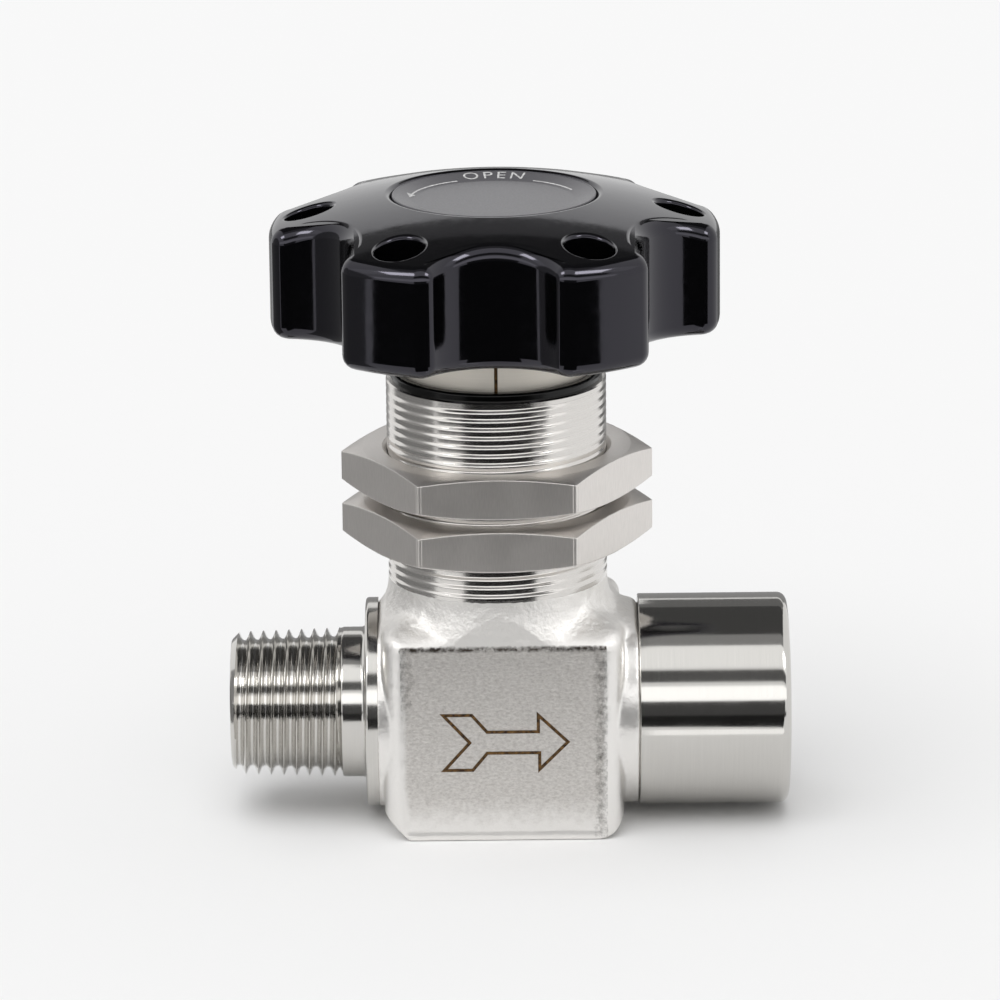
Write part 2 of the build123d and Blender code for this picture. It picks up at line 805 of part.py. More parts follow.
# Panel nuts: two equal thin hexagon nuts, chamfered on both faces
for nut_name, nut_height in (("lower_panel_nut", lower_nut_height), ("upper_panel_nut", upper_nut_height)):
    nut_end = nut_height + nut_thickness
    with BuildPart() as panel_nut:
        with BuildSketch(Plane.XY.offset(nut_height)):
            RegularPolygon(nut_across_flats / 2, 6, major_radius=False)
        extrude(amount=nut_thickness)
        with BuildSketch(Plane.XZ):
            with BuildLine():
                Polyline(
                    (nut_bore_radius + nut_bore_chamfer, nut_height),
                    (nut_across_flats / 2, nut_height),
                    (nut_corner_radius, nut_height + nut_corner_drop),
                    (nut_corner_radius, nut_end - nut_corner_drop),
                    (nut_across_flats / 2, nut_end),
                    (nut_bore_radius + nut_bore_chamfer, nut_end),
                    (nut_bore_radius, nut_end - nut_bore_chamfer),
                    (nut_bore_radius, nut_height + nut_bore_chamfer),
                    close=True,
                )
            make_face()
        revolve(axis=Axis.Z, mode=Mode.INTERSECT)
    panel_nut.part.label = nut_name
    export_step(panel_nut.part, f"parts/{nut_name}.step")
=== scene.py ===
import math

import bmesh
import bpy
import numpy as np
from mathutils import Matrix, Vector
from mathutils.geometry import delaunay_2d_cdt


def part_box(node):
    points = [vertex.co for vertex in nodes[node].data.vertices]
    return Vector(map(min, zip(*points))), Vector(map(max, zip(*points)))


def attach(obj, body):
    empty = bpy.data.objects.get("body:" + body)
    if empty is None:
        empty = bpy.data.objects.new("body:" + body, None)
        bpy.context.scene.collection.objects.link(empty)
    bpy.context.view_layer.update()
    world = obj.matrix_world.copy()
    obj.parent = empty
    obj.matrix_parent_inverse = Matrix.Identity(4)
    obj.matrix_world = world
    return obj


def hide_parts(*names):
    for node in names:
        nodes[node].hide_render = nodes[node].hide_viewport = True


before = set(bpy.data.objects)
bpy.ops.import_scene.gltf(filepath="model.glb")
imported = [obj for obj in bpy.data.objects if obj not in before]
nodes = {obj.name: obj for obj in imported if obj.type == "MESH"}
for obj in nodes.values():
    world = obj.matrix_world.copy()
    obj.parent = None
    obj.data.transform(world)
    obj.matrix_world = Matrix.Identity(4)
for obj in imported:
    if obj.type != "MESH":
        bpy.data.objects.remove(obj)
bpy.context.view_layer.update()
mm = 0.001

# Valve body: one forging in 316 stainless. The block, its bosses and the flare under the neck keep their
# soft forged corners, tumbled bright, while the front and back faces are shot blasted to a fine grey grain.
flow_height = 15.8 * mm
block_left = 16.3 * mm
block_right = 17.5 * mm
block_half_depth = 15.8 * mm
block_corner = 3.2 * mm
block_face_top = 28.7 * mm
block_side_top = 29.4 * mm
block_top = 33.9 * mm
shoulder_slope = math.radians(33)
inlet_bevel = 3.4 * mm
outlet_round = 3.6 * mm
inlet_boss_radius = 14.9 * mm
inlet_boss_end = 18.9 * mm
outlet_boss_radius = 14.7 * mm
outlet_boss_end = 19.9 * mm
boss_rim = 1.6 * mm
neck_radius = 15.5 * mm
neck_thread_start = 34.9 * mm
flare_radius = 10.8 * mm
flare_drop = 5.5 * mm
forging_grid = 0.27 * mm
face_step = 0.12 * mm
around = 144


def linear(colour):
    """The linear colour of an sRGB hex value."""
    levels = [int(colour[i:i + 2], 16) / 255 for i in (1, 3, 5)]
    return [c / 12.92 if c <= 0.04045 else ((c + 0.055) / 1.055) ** 2.4 for c in levels] + [1.0]


def add(tree, kind, inputs=None, output=None, **settings):
    """Adds a node with its settings and inputs or links, and gives its named or its first live output."""
    made = tree.nodes.new(kind)
    for name, value in settings.items():
        setattr(made, name, value)
    for name, value in (inputs or {}).items():
        if isinstance(value, bpy.types.NodeSocket):
            tree.links.new(value, made.inputs[name])
        else:
            made.inputs[name].default_value = value
    if output:
        return made.outputs[output]
    return next((socket for socket in made.outputs if socket.enabled), None)


def new_material(name):
    """An empty material with this name, and its nodes."""
    material = bpy.data.materials.new(name)
    material.use_nodes = True
    material.node_tree.nodes.clear()
    return material, material.node_tree


def dress(name, mesh, body, material):
    """An object for a finished mesh, with its material, riding on its body."""
    mesh.name = name
    mesh.materials.clear()
    mesh.materials.append(material)
    piece = bpy.data.objects.new(name, mesh)
    bpy.context.scene.collection.objects.link(piece)
    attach(piece, body)
    return piece


def mesh_of(name, points, faces):
    """A mesh of these points and faces."""
    mesh = bpy.data.meshes.new(name)
    mesh.from_pydata(points, [], faces)
    return mesh


def smooth_edges(mesh, degrees):
    """Shades a mesh smooth, apart from its edges sharper than this angle."""
    mesh.shade_smooth()
    mesh.set_sharp_from_angle(angle=math.radians(degrees))


def tidy(mesh, gap=0.002 * mm):
    """Joins points that meet and turns every face outwards."""
    work = bmesh.new()
    work.from_mesh(mesh)
    bmesh.ops.remove_doubles(work, verts=work.verts, dist=gap)
    bmesh.ops.dissolve_degenerate(work, edges=work.edges, dist=gap)
    bmesh.ops.recalc_face_normals(work, faces=work.faces)
    work.to_mesh(mesh)
    work.free()


def supported(profile):
    """The profile with a point near each end of its long runs, so that shading stays flat between them."""
    close = 0.06 * mm
    rows = [profile[0]]
    for (start, low), (end, high) in zip(profile, profile[1:]):
        length = math.hypot(end - start, high - low)
        if length > 0.5 * mm:
            for share in (close / length, 1 - close / length):
                rows.append((start + (end - start) * share, low + (high - low) * share))
        rows.append((end, high))
    return rows


def turned_point(along, radius, share, axis):
    """A point of a turned form, at a share of the full turn about the flow or about the stem."""
    turn = 2 * math.pi * share
    across, up = radius * math.cos(turn), radius * math.sin(turn)
    return (along, across, flow_height + up) if axis == "X" else (across, up, along)


def ring_faces(rows, size, first=0):
    """Faces between closed rings of points that follow one another."""
    faces = []
    for row in range(rows - 1):
        here, there = first + row * size, first + (row + 1) * size
        for k in range(size):
            after = (k + 1) % size
            faces.append((here + k, here + after, there + after, there + k))
    return faces


def arc(centre, radius, start, end, steps):
    """Points of an arc in the plane of a profile; angles in degrees."""
    turns = [math.radians(start + (end - start) * k / steps) for k in range(steps + 1)]
    return [(centre[0] + radius * math.cos(t), centre[1] + radius * math.sin(t)) for t in turns]


def forged_block():
    """The block as a convex solid: its rounded plan, cut by the bevel, the rounding and the shoulders."""
    plan = []
    centres = [(block_right, block_half_depth, 0), (-block_left, block_half_depth, 90),
               (-block_left, -block_half_depth, 180), (block_right, -block_half_depth, 270)]
    for x, y, start in centres:
        inset = (x - math.copysign(block_corner, x), y - math.copysign(block_corner, y))
        plan += arc(inset, block_corner, start, start + 90, 8)
    work = bmesh.new()
    low = work.faces.new([work.verts.new((x, y, 0)) for x, y in plan])
    raised = bmesh.ops.extrude_face_region(work, geom=[low])
    lifted = [v for v in raised["geom"] if isinstance(v, bmesh.types.BMVert)]
    bmesh.ops.translate(work, vec=(0, 0, block_top), verts=lifted)
    bmesh.ops.recalc_face_normals(work, faces=work.faces)
    slope, rise = math.sin(shoulder_slope), math.cos(shoulder_slope)
    cuts = [((-block_left + inlet_bevel, 0, 0), (-1, 0, -1)),
            ((0, -block_half_depth, block_face_top), (0, -slope, rise)),
            ((0, block_half_depth, block_face_top), (0, slope, rise)),
            ((-block_left, 0, block_side_top), (-slope, 0, rise)),
            ((block_right, 0, block_side_top), (slope, 0, rise))]
    for step in range(1, 8):
        tilt = math.radians(90 * step / 8)
        outward = Vector((math.sin(tilt), 0, -math.cos(tilt)))
        corner = Vector((block_right - outlet_round, 0, outlet_round))
        cuts.append((corner + outlet_round * outward, outward))
    for place, outward in cuts:
        bmesh.ops.bisect_plane(work, geom=work.verts[:] + work.edges[:] + work.faces[:], dist=1e-7,
                               plane_co=place, plane_no=outward, clear_outer=True)
        bmesh.ops.holes_fill(work, edges=[e for e in work.edges if e.is_boundary], sides=0)
    mesh = bpy.data.meshes.new("block")
    work.to_mesh(mesh)
    work.free()
    return mesh


def joined(meshes):
    """One mesh of several."""
    work = bmesh.new()
    for mesh in meshes:
        work.from_mesh(mesh)
    whole = bpy.data.meshes.new("joined")
    work.to_mesh(whole)
    work.free()
    return whole


def turned_mesh(profile, axis):
    """A closed solid turned from a profile of (place along the axis, radius)."""
    profile = supported(profile)
    points = [turned_point(along, radius, k / around, axis)
              for along, radius in profile for k in range(around)]
    mesh = mesh_of("turned", points, ring_faces(len(profile), around))
    tidy(mesh)
    return mesh


def softened(mesh, rounds, share):
    """Evens out a mesh; the share says how far each point goes, by its place."""
    count = len(mesh.vertices)
    spots = np.empty(count * 3)
    mesh.vertices.foreach_get("co", spots)
    spots = spots.reshape(count, 3)
    edges = np.empty(len(mesh.edges) * 2, dtype=np.int64)
    mesh.edges.foreach_get("vertices", edges)
    ends = edges.reshape(-1, 2)
    degree = np.bincount(edges, minlength=count)[:, None]
    pull = share(spots)[:, None]
    for _ in range(rounds):
        total = np.zeros_like(spots)
        for axis in range(3):
            total[:, axis] = (np.bincount(ends[:, 0], spots[ends[:, 1], axis], count)
                              + np.bincount(ends[:, 1], spots[ends[:, 0], axis], count))
        spots += pull * (total / degree - spots)
    mesh.vertices.foreach_set("co", spots.ravel())
    return spots


def ramp(values, start, end):
    """Rises from 0 at start to 1 at end."""
    return np.clip((values - start) / (end - start), 0, 1)


def shade_and_speckle_line(distance, width):
    """How dark a line is at a distance from its middle. It is used for the painted shade along the top of
    the blasted face and for the dark speckles down its sides.
    """
    return np.exp(-(distance / width) ** 2)


def grown_together(mesh, grid):
    """The one skin of overlapping solids."""
    rough = bpy.data.objects.new("rough", mesh)
    bpy.context.scene.collection.objects.link(rough)
    remesh = rough.modifiers.new("skin", "REMESH")
    remesh.mode = "VOXEL"
    remesh.voxel_size = grid
    bpy.context.view_layer.update()
    skin = bpy.data.meshes.new_from_object(rough.evaluated_get(bpy.context.evaluated_depsgraph_get()))
    bpy.data.objects.remove(rough)
    return skin


def forged_stainless():
    """316 stainless as forged: tumbled bright and slightly wavy, with a blasted grain on the flat faces, a
    line of painted shade along their top edge and dark speckles down their sides.

    Shot leaves a grain of about 0.15 mm. It is drawn two to four times as wide, so that it shows.
    """
    material, tree = new_material("forged_316_stainless")
    place = add(tree, "ShaderNodeTexCoord", output="Object")
    face = add(tree, "ShaderNodeAttribute", output="Fac", attribute_name="blasted")
    shade_and_speckle = add(tree, "ShaderNodeAttribute", output="Fac", attribute_name="shade_and_speckle")
    ragged = add(tree, "ShaderNodeTexNoise", {"Vector": place, "Scale": 1 / (1.1 * mm), "Detail": 4.0,
                                              "Roughness": 0.65})
    shift = add(tree, "ShaderNodeMapRange", {"Value": ragged, "From Min": 0.25, "From Max": 0.75,
                                             "To Min": -0.15, "To Max": 0.15})
    edge = add(tree, "ShaderNodeMath", {0: face, 1: shift}, operation="ADD")
    blasted = add(tree, "ShaderNodeMapRange", {"Value": edge, "From Min": 0.38, "From Max": 0.82})
    lain = add(tree, "ShaderNodeMapping", {"Vector": place, "Scale": (1 / (0.62 * mm), 1 / (0.4 * mm),
                                                                      1 / (0.34 * mm))})
    grain = add(tree, "ShaderNodeTexNoise", {"Vector": lain, "Scale": 1.0, "Detail": 4.0,
                                             "Roughness": 0.65})
    mottle = add(tree, "ShaderNodeTexNoise", {"Vector": place, "Scale": 1 / (2.6 * mm), "Detail": 5.0,
                                              "Roughness": 0.6})
    grit = add(tree, "ShaderNodeMapRange", {"Value": grain, "From Min": 0.3, "From Max": 0.62})
    grey = add(tree, "ShaderNodeMix", {0: grit, 6: linear("#c1bdb9"), 7: linear("#dedbd7")},
               data_type="RGBA")
    speck = add(tree, "ShaderNodeTexNoise", {"Vector": place, "Scale": 1 / (0.7 * mm), "Detail": 4.0,
                                             "Roughness": 0.7})
    # Painted shade: a dark ragged line along the top edge of each blasted face, where the shoulder's lip
    # overhangs it. The same dark colour also gives the speckles down the face's sides.
    ragged_shade_and_speckle = add(tree, "ShaderNodeMath", {0: shade_and_speckle, 1: speck}, operation="MULTIPLY")
    shade_and_speckle_mask = add(tree, "ShaderNodeMapRange", {"Value": ragged_shade_and_speckle, "From Min": 0.22, "From Max": 0.55})
    colour = add(tree, "ShaderNodeMix", {0: blasted, 6: linear("#efedea"), 7: grey}, data_type="RGBA")
    dark = add(tree, "ShaderNodeMix", {0: shade_and_speckle_mask, 6: colour, 7: linear("#48423d")}, data_type="RGBA")
    height = add(tree, "ShaderNodeSeparateXYZ", {"Vector": place}, output="Z")
    matt = add(tree, "ShaderNodeMapRange", {"Value": height, "From Min": 26 * mm, "From Max": 29 * mm,
                                            "To Min": 0.34, "To Max": 0.55})
    rough = add(tree, "ShaderNodeMapRange", {"Value": blasted, "To Min": matt, "To Max": 0.46})
    swell = add(tree, "ShaderNodeMapRange", {"Value": height, "From Min": 28 * mm, "From Max": 31 * mm,
                                             "To Min": 0.3, "To Max": 1.0})
    wavy = add(tree, "ShaderNodeMath", {0: mottle, 1: swell}, operation="MULTIPLY")
    wave = add(tree, "ShaderNodeBump", {"Height": wavy, "Strength": 0.8, "Distance": 0.6 * mm})
    pits = add(tree, "ShaderNodeMath", {0: grain, 1: blasted}, operation="MULTIPLY")
    blast = add(tree, "ShaderNodeBump", {"Height": pits, "Strength": 0.7, "Distance": 0.09 * mm,
                                         "Normal": wave})
    shader = add(tree, "ShaderNodeBsdfPrincipled", {"Base Color": dark, "Metallic": 1.0,
                                                    "Roughness": rough, "Normal": blast})
    add(tree, "ShaderNodeOutputMaterial", {"Surface": shader})
    return material


foot_radius = neck_radius + flare_radius - math.sqrt(flare_radius**2 - flare_drop**2)
flare_turn = math.degrees(math.asin(flare_drop / flare_radius))
flare_curve = [(z, r) for r, z in arc((neck_radius + flare_radius, neck_thread_start), flare_radius,
                                      180 + flare_turn, 180, 16)]
inlet_boss = [(0, 0), (0, inlet_boss_radius), (-inlet_boss_end + boss_rim, inlet_boss_radius),
              (-inlet_boss_end + boss_rim, 0)]
outlet_boss = [(0, 0), (0, outlet_boss_radius), (outlet_boss_end, outlet_boss_radius), (outlet_boss_end, 0)]
flare = [(flow_height, 0), (flow_height, foot_radius)] + flare_curve
flare += [(neck_thread_start + 0.6 * mm, neck_radius), (neck_thread_start + 0.6 * mm, 0)]
forging = grown_together(joined([forged_block(), turned_mesh(inlet_boss, "X"), turned_mesh(outlet_boss, "X"),
                                 turned_mesh(flare, "Z")]), forging_grid)
softened(forging, 6, lambda places: np.full(len(places), 0.5))
spots = softened(forging, 90, lambda places: 0.5 * ramp(places[:, 2], 27.6 * mm, 29.6 * mm)
                 * ramp(places[:, 2], 34.6 * mm, 33.2 * mm))
margin = 0.05 * mm
spots[:, 1] = np.clip(spots[:, 1], -block_half_depth + margin, block_half_depth - margin)
spots[:, 2] = np.maximum(spots[:, 2], 0.0)
face_left, face_right = -block_left + block_corner - 0.3 * mm, block_right - block_corner + 0.3 * mm
inside = np.minimum.reduce([spots[:, 0] - face_left, face_right - spots[:, 0], spots[:, 2] - 0.9 * mm,
                            block_face_top - 0.3 * mm - spots[:, 2]])
near = ramp(np.abs(spots[:, 1]), block_half_depth - 0.6 * mm, block_half_depth - 0.3 * mm)
step = np.clip(inside / (0.35 * mm), 0, 1) * near
spots[:, 1] -= np.sign(spots[:, 1]) * face_step * step
forging.vertices.foreach_set("co", spots.ravel())
blasted = forging.attributes.new("blasted", "FLOAT", "POINT")
lower_fade = 0.25 + 0.75 * ramp(spots[:, 2], 1.0 * mm, 8.0 * mm)
blasted.data.foreach_set("value", np.clip(0.5 + inside / (1.6 * mm), 0, 1) * near * lower_fade)
# Where the dark colour goes: a line of painted shade just under the face's top edge, and speckles down its
# right and left sides.
top_painted_shade = shade_and_speckle_line(spots[:, 2] - block_face_top + 0.45 * mm, 0.6 * mm)
right_speckles = 0.66 * shade_and_speckle_line(face_right - spots[:, 0] - 0.2 * mm, 1.7 * mm)
left_speckles = 0.6 * shade_and_speckle_line(spots[:, 0] - face_left - 0.2 * mm, 2.3 * mm)
left_speckles *= ramp(spots[:, 2], 12 * mm, 20 * mm)
within = (inside > -0.6 * mm) * near
shade_and_speckle = forging.attributes.new("shade_and_speckle", "FLOAT", "POINT")
shade_and_speckle.data.foreach_set("value", np.maximum.reduce([top_painted_shade, right_speckles, left_speckles]) * within)
forging.shade_smooth()
body_forging = dress("body_forging", forging, "valve_body", forged_stainless())
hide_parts("valve_body")

# Flow arrow: the outline of an arrow marked by laser on the blasted front face. The heat leaves a dark brown
# oxide line with a slight golden edge, and takes no material away.
arrow_axis = 14.55 * mm
arrow_line = 0.46 * mm
arrow_face = -block_half_depth + face_step + margin - 0.03 * mm
arrow_outline = [(-7.9, 4.05), (-3.9, 4.05), (-1.75, 1.55), (5.45, 1.55), (5.45, 4.0), (9.6, 0.0),
                 (5.6, -4.0), (5.6, -1.55), (-1.75, -1.55), (-3.8, -4.05), (-7.8, -4.05), (-4.2, 0.0)]


def laser_mark():
    """Heat-tinted oxide: dark brown and matt, golden where the line thins out."""
    material, tree = new_material("laser_marked_oxide")
    place = add(tree, "ShaderNodeTexCoord", output="Object")
    patch = add(tree, "ShaderNodeTexNoise", {"Vector": place, "Scale": 1 / (0.6 * mm), "Detail": 3.0})
    tint = add(tree, "ShaderNodeMapRange", {"Value": patch, "From Min": 0.35, "From Max": 0.7})
    colour = add(tree, "ShaderNodeMix", {0: tint, 6: linear("#2f2116"), 7: linear("#7a5b33")},
                 data_type="RGBA")
    shader = add(tree, "ShaderNodeBsdfPrincipled", {"Base Color": colour, "Metallic": 0.6,
                                                    "Roughness": 0.55})
    add(tree, "ShaderNodeOutputMaterial", {"Surface": shader})
    return material


def outline_strip(corners, width):
    """Points and faces of a flat line of this width along a closed outline of (x, z)."""
    points, faces = [], []
    total = len(corners)
    for k in range(total):
        before, here, after = (Vector(corners[(k + d) % total]) for d in (-1, 0, 1))
        first, second = (here - before).normalized(), (after - here).normalized()
        mitre = (Vector((-first.y, first.x)) + Vector((-second.y, second.x))).normalized()
        reach = width / 2 / max(0.35, mitre.dot(Vector((-first.y, first.x))))
        points += [here + mitre * reach, here - mitre * reach]
    for k in range(total):
        a, b = 2 * k, 2 * ((k + 1) % total)
        faces.append((a, b, b + 1, a + 1))
    return points, faces


corners = [(x * mm, arrow_axis + z * mm) for x, z in arrow_outline]
flat_points, flat_faces = outline_strip(corners, arrow_line)
oxide = laser_mark()
dress("flow_arrow", mesh_of("flow_arrow", [(p.x, arrow_face, p.y) for p in flat_points], flat_faces),
      "valve_body", oxide)

# Male inlet: turned on the forging's left boss. A short shank, then a taper pipe thread of 14 turns to the
# inch, and the flow bore. Freshly cut stainless, bright and sharp.
pipe_pitch = 1.814 * mm
pipe_depth = 1.25 * mm
inlet_end = 38.1 * mm
shank_radius = 10.7 * mm
shank_end = 22.3 * mm
inlet_crest = 10.62 * mm
inlet_tip = 10.126 * mm
inlet_chamfer = 1.1 * mm
flow_bore = 5.95 * mm
turned_segments = 128
# One turn of a thread as (share of the pitch, share of the depth): pointed crests between wide round roots,
# and flat crests between narrow cuts.
sharp_form = [(0.0, 0.0), (0.03, 0.01), (0.07, 0.10), (0.26, 0.68), (0.32, 0.85), (0.38, 0.95),
              (0.44, 0.99), (0.50, 1.0), (0.56, 0.99), (0.62, 0.95), (0.68, 0.85), (0.74, 0.68),
              (0.93, 0.10), (0.97, 0.01)]
flat_form = [(0.0, 0.0), (0.42, 0.0), (0.50, 0.04), (0.58, 0.18), (0.66, 0.38), (0.74, 0.60),
             (0.82, 0.82), (0.88, 0.95), (0.92, 1.0), (0.95, 0.9), (0.98, 0.25)]


def turned_stainless(name, axis, shade, rough, lines, metal=1.0):
    """Turned 316 stainless: bright, with fine tool lines round the axis that show as a faint sheen."""
    material, tree = new_material(name)
    place = add(tree, "ShaderNodeTexCoord", output="Object")
    fine, slow = 1 / lines, 1 / (9 * mm)
    stretch = (fine, slow, slow) if axis == "X" else (slow, slow, fine)
    ringed = add(tree, "ShaderNodeMapping", {"Vector": place, "Scale": stretch})
    tool = add(tree, "ShaderNodeTexNoise", {"Vector": ringed, "Scale": 1.0, "Detail": 3.0,
                                            "Roughness": 0.7})
    cloud = add(tree, "ShaderNodeTexNoise", {"Vector": place, "Scale": 1 / (5 * mm), "Detail": 3.0})
    worn = add(tree, "ShaderNodeMath", {0: tool, 1: cloud}, operation="MULTIPLY")
    roughness = add(tree, "ShaderNodeMapRange", {"Value": worn, "From Min": 0.1, "From Max": 0.45,
                                                 "To Min": rough * 0.75, "To Max": rough * 1.3})
    shift = add(tree, "ShaderNodeMapRange", {"Value": tool, "From Min": 0.3, "From Max": 0.7,
                                             "To Min": 0.93, "To Max": 1.0})
    colour = add(tree, "ShaderNodeMix", {0: shift, 6: linear("#000000"), 7: linear(shade)},
                 data_type="RGBA")
    bump = add(tree, "ShaderNodeBump", {"Height": tool, "Strength": 0.12, "Distance": 0.02 * mm})
    shader = add(tree, "ShaderNodeBsdfPrincipled", {"Base Color": colour, "Metallic": metal,
                                                    "Roughness": roughness, "Normal": bump})
    add(tree, "ShaderNodeOutputMaterial", {"Surface": shader})
    return material


def threaded(before, start, end, pitch, crest, depth, runout, after, axis, sign=1, segments=turned_segments,
             shape=sharp_form, limit=lambda along: 1.0):
    """A turned mesh with a helical thread between plain profiles; crest and limit give radii by place."""
    steps = len(shape)
    rows = (math.ceil((end - start) / pitch) + 1) * steps + 1
    points, faces = [], []
    for row in range(rows):
        ahead, deep = shape[row % steps]
        for k in range(segments):
            along = start + pitch * (row // steps - 1 + ahead + k / segments)
            along = min(max(along, start), end)
            fade = max(min(1.0, (along - start) / runout, (end - along) / runout), 0.0)
            radius = min(crest(along) - depth * fade * deep, limit(along))
            points.append(turned_point(sign * along, radius, k / segments, axis))
    for row in range(rows - 1):
        for k in range(segments):
            lower, upper = row * segments + k, (row + 1) * segments + k
            if k < segments - 1:
                faces.append((lower, lower + 1, upper + 1, upper))
            elif row + 1 + steps < rows:
                turned = (row + steps) * segments
                faces.append((lower, turned, turned + segments, upper))
    for profile in (supported(before), supported(after)):
        faces += ring_faces(len(profile), segments, len(points))
        points += [turned_point(sign * along, radius, k / segments, axis)
                   for along, radius in profile for k in range(segments)]
    mesh = mesh_of("threaded", points, faces)
    tidy(mesh, 0.004 * mm)
    smooth_edges(mesh, 38)
    return mesh


def inlet_crest_at(along):
    """Crest radius of the male thread, falling by 1 in 16 on diameter towards the tip."""
    share = (along - shank_end) / (inlet_end - shank_end)
    return inlet_crest + (inlet_tip - inlet_crest) * share


def tip_cone(along):
    """Radius of the chamfer at the tip."""
    return inlet_tip - inlet_chamfer + (inlet_end - along)


thread_end = inlet_end - 0.12 * mm
rim_edge = 0.5 * mm
shank_round = 0.7 * mm
bore_chamfer = 0.45 * mm
shank_start = inlet_boss_end - boss_rim - 0.2 * mm
shank = [(shank_start, 8 * mm), (shank_start, inlet_boss_radius)]
shank += arc((inlet_boss_end - rim_edge, inlet_boss_radius - rim_edge), rim_edge, 90, 0, 6)
shank += [(inlet_boss_end, shank_radius + shank_round)]
shank += arc((inlet_boss_end + shank_round, shank_radius + shank_round), shank_round, 180, 270, 6)
shank += [(shank_end - 0.25 * mm, shank_radius), (shank_end, shank_radius - 0.1 * mm),
          (shank_end, inlet_crest)]
tip = [(thread_end, tip_cone(thread_end)), (inlet_end, inlet_tip - inlet_chamfer - 0.1 * mm),
       (inlet_end, flow_bore + bore_chamfer), (inlet_end - bore_chamfer, flow_bore), (2 * mm, flow_bore),
       (-3 * mm, 0.2 * mm)]
nipple = threaded(shank, shank_end, thread_end, pipe_pitch, inlet_crest_at, pipe_depth, 0.5 * mm, tip, "X",
                  sign=-1, limit=tip_cone)
dress("inlet_nipple", nipple, "valve_body",
      turned_stainless("turned_316_inlet", "X", "#d3d1cd", 0.12, 0.12 * mm))

# Female outlet: turned barrel with a rounded end, a chamfered mouth and the matching taper thread inside.
# Its outside is polished to straight, sharp reflections with the finest tool lines.
outlet_end = 41.1 * mm
outlet_radius = 15.05 * mm
outlet_edge = 1.4 * mm
outlet_drill = 9.13 * mm
outlet_chamfer = 1.3 * mm
thread_floor = outlet_end - 17.0 * mm
barrel = [(outlet_boss_end - 0.1 * mm, 8 * mm), (outlet_boss_end - 0.1 * mm, outlet_radius - 0.15 * mm),
          (outlet_boss_end + 0.05 * mm, outlet_radius)]
barrel += arc((outlet_end - outlet_edge, outlet_radius - outlet_edge), outlet_edge, 90, 0, 10)
barrel += [(outlet_end, outlet_drill + outlet_chamfer + 0.1 * mm),
           (outlet_end - 0.1 * mm, outlet_drill + outlet_chamfer),
           (outlet_end - outlet_chamfer, outlet_drill)]
bore_end = [(thread_floor, outlet_drill), (thread_floor, flow_bore), (9 * mm, flow_bore), (5 * mm, 0.2 * mm)]
socket = threaded(barrel, thread_floor, outlet_end - outlet_chamfer, pipe_pitch, lambda along: outlet_drill,
                  -1.0 * mm, 2.5 * mm, bore_end, "X")
dress("outlet_barrel", socket, "valve_body",
      turned_stainless("turned_316_barrel", "X", "#cfcdc9", 0.10, 0.07 * mm))

# Panel neck: threaded outside along its whole length for the two panel nuts, with a plain bright rim, and
# bored for the parts inside. The crests are flat and wide, so the thread looks shallow.
neck_top = 63.8 * mm
neck_bore = 13.0 * mm
neck_pitch = 1.27 * mm
neck_depth = 0.24 * mm
neck_rim = 0.55 * mm
neck_start = neck_thread_start + 0.35 * mm
foot = [(neck_thread_start - 1.5 * mm, neck_radius - 1.2 * mm),
        (neck_thread_start - 0.2 * mm, neck_radius - 0.02 * mm), (neck_start, neck_radius)]
mouth = [(neck_top - neck_rim, neck_radius), (neck_top - 0.2 * mm, neck_radius),
         (neck_top, neck_radius - 0.2 * mm), (neck_top, neck_bore + 0.35 * mm),
         (neck_top - 0.35 * mm, neck_bore), (neck_top - 6 * mm, neck_bore)]
neck = threaded(foot, neck_start, neck_top - neck_rim, neck_pitch, lambda along: neck_radius, neck_depth,
                0.4 * mm, mouth, "Z", segments=160, shape=flat_form)
dress("panel_neck", neck, "valve_body",
      turned_stainless("turned_316_neck", "Z", "#dfdcd8", 0.18, 0.1 * mm))


# Sealing parts inside the body: a fluoropolymer seat, three thin cobalt-alloy diaphragms and a turned clamp
# ring. They are seen only in a cut view, so their own solids stay and take their finish.
def plain_metal(name, shade, rough, grain):
    """A machined or rolled metal with a light, even scatter in its gloss."""
    material, tree = new_material(name)
    place = add(tree, "ShaderNodeTexCoord", output="Object")
    scatter = add(tree, "ShaderNodeTexNoise", {"Vector": place, "Scale": 1 / grain, "Detail": 3.0})
    gloss = add(tree, "ShaderNodeMapRange", {"Value": scatter, "From Min": 0.25, "From Max": 0.75,
                                             "To Min": rough * 0.8, "To Max": rough * 1.2})
    bump = add(tree, "ShaderNodeBump", {"Height": scatter, "Strength": 0.1, "Distance": 0.02 * mm})
    shader = add(tree, "ShaderNodeBsdfPrincipled", {"Base Color": linear(shade), "Metallic": 1.0,
                                                    "Roughness": gloss, "Normal": bump})
    add(tree, "ShaderNodeOutputMaterial", {"Surface": shader})
    return material


def plain_polymer(name, shade, rough, grain, gloss=0.5):
    """A moulded or machined polymer, its gloss broken by a light texture."""
    material, tree = new_material(name)
    place = add(tree, "ShaderNodeTexCoord", output="Object")
    scatter = add(tree, "ShaderNodeTexNoise", {"Vector": place, "Scale": 1 / grain, "Detail": 4.0})
    sheen = add(tree, "ShaderNodeMapRange", {"Value": scatter, "From Min": 0.25, "From Max": 0.75,
                                             "To Min": rough * 0.85, "To Max": rough * 1.15})
    bump = add(tree, "ShaderNodeBump", {"Height": scatter, "Strength": 0.12, "Distance": 0.02 * mm})
    shader = add(tree, "ShaderNodeBsdfPrincipled", {"Base Color": linear(shade), "Roughness": sheen,
                                                    "Specular IOR Level": gloss, "Normal": bump})
    add(tree, "ShaderNodeOutputMaterial", {"Surface": shader})
    return material


def finish_node(name, material):
    """Gives a frame piece its finish on every material slot."""
    for place in nodes[name].material_slots:
        place.material = material


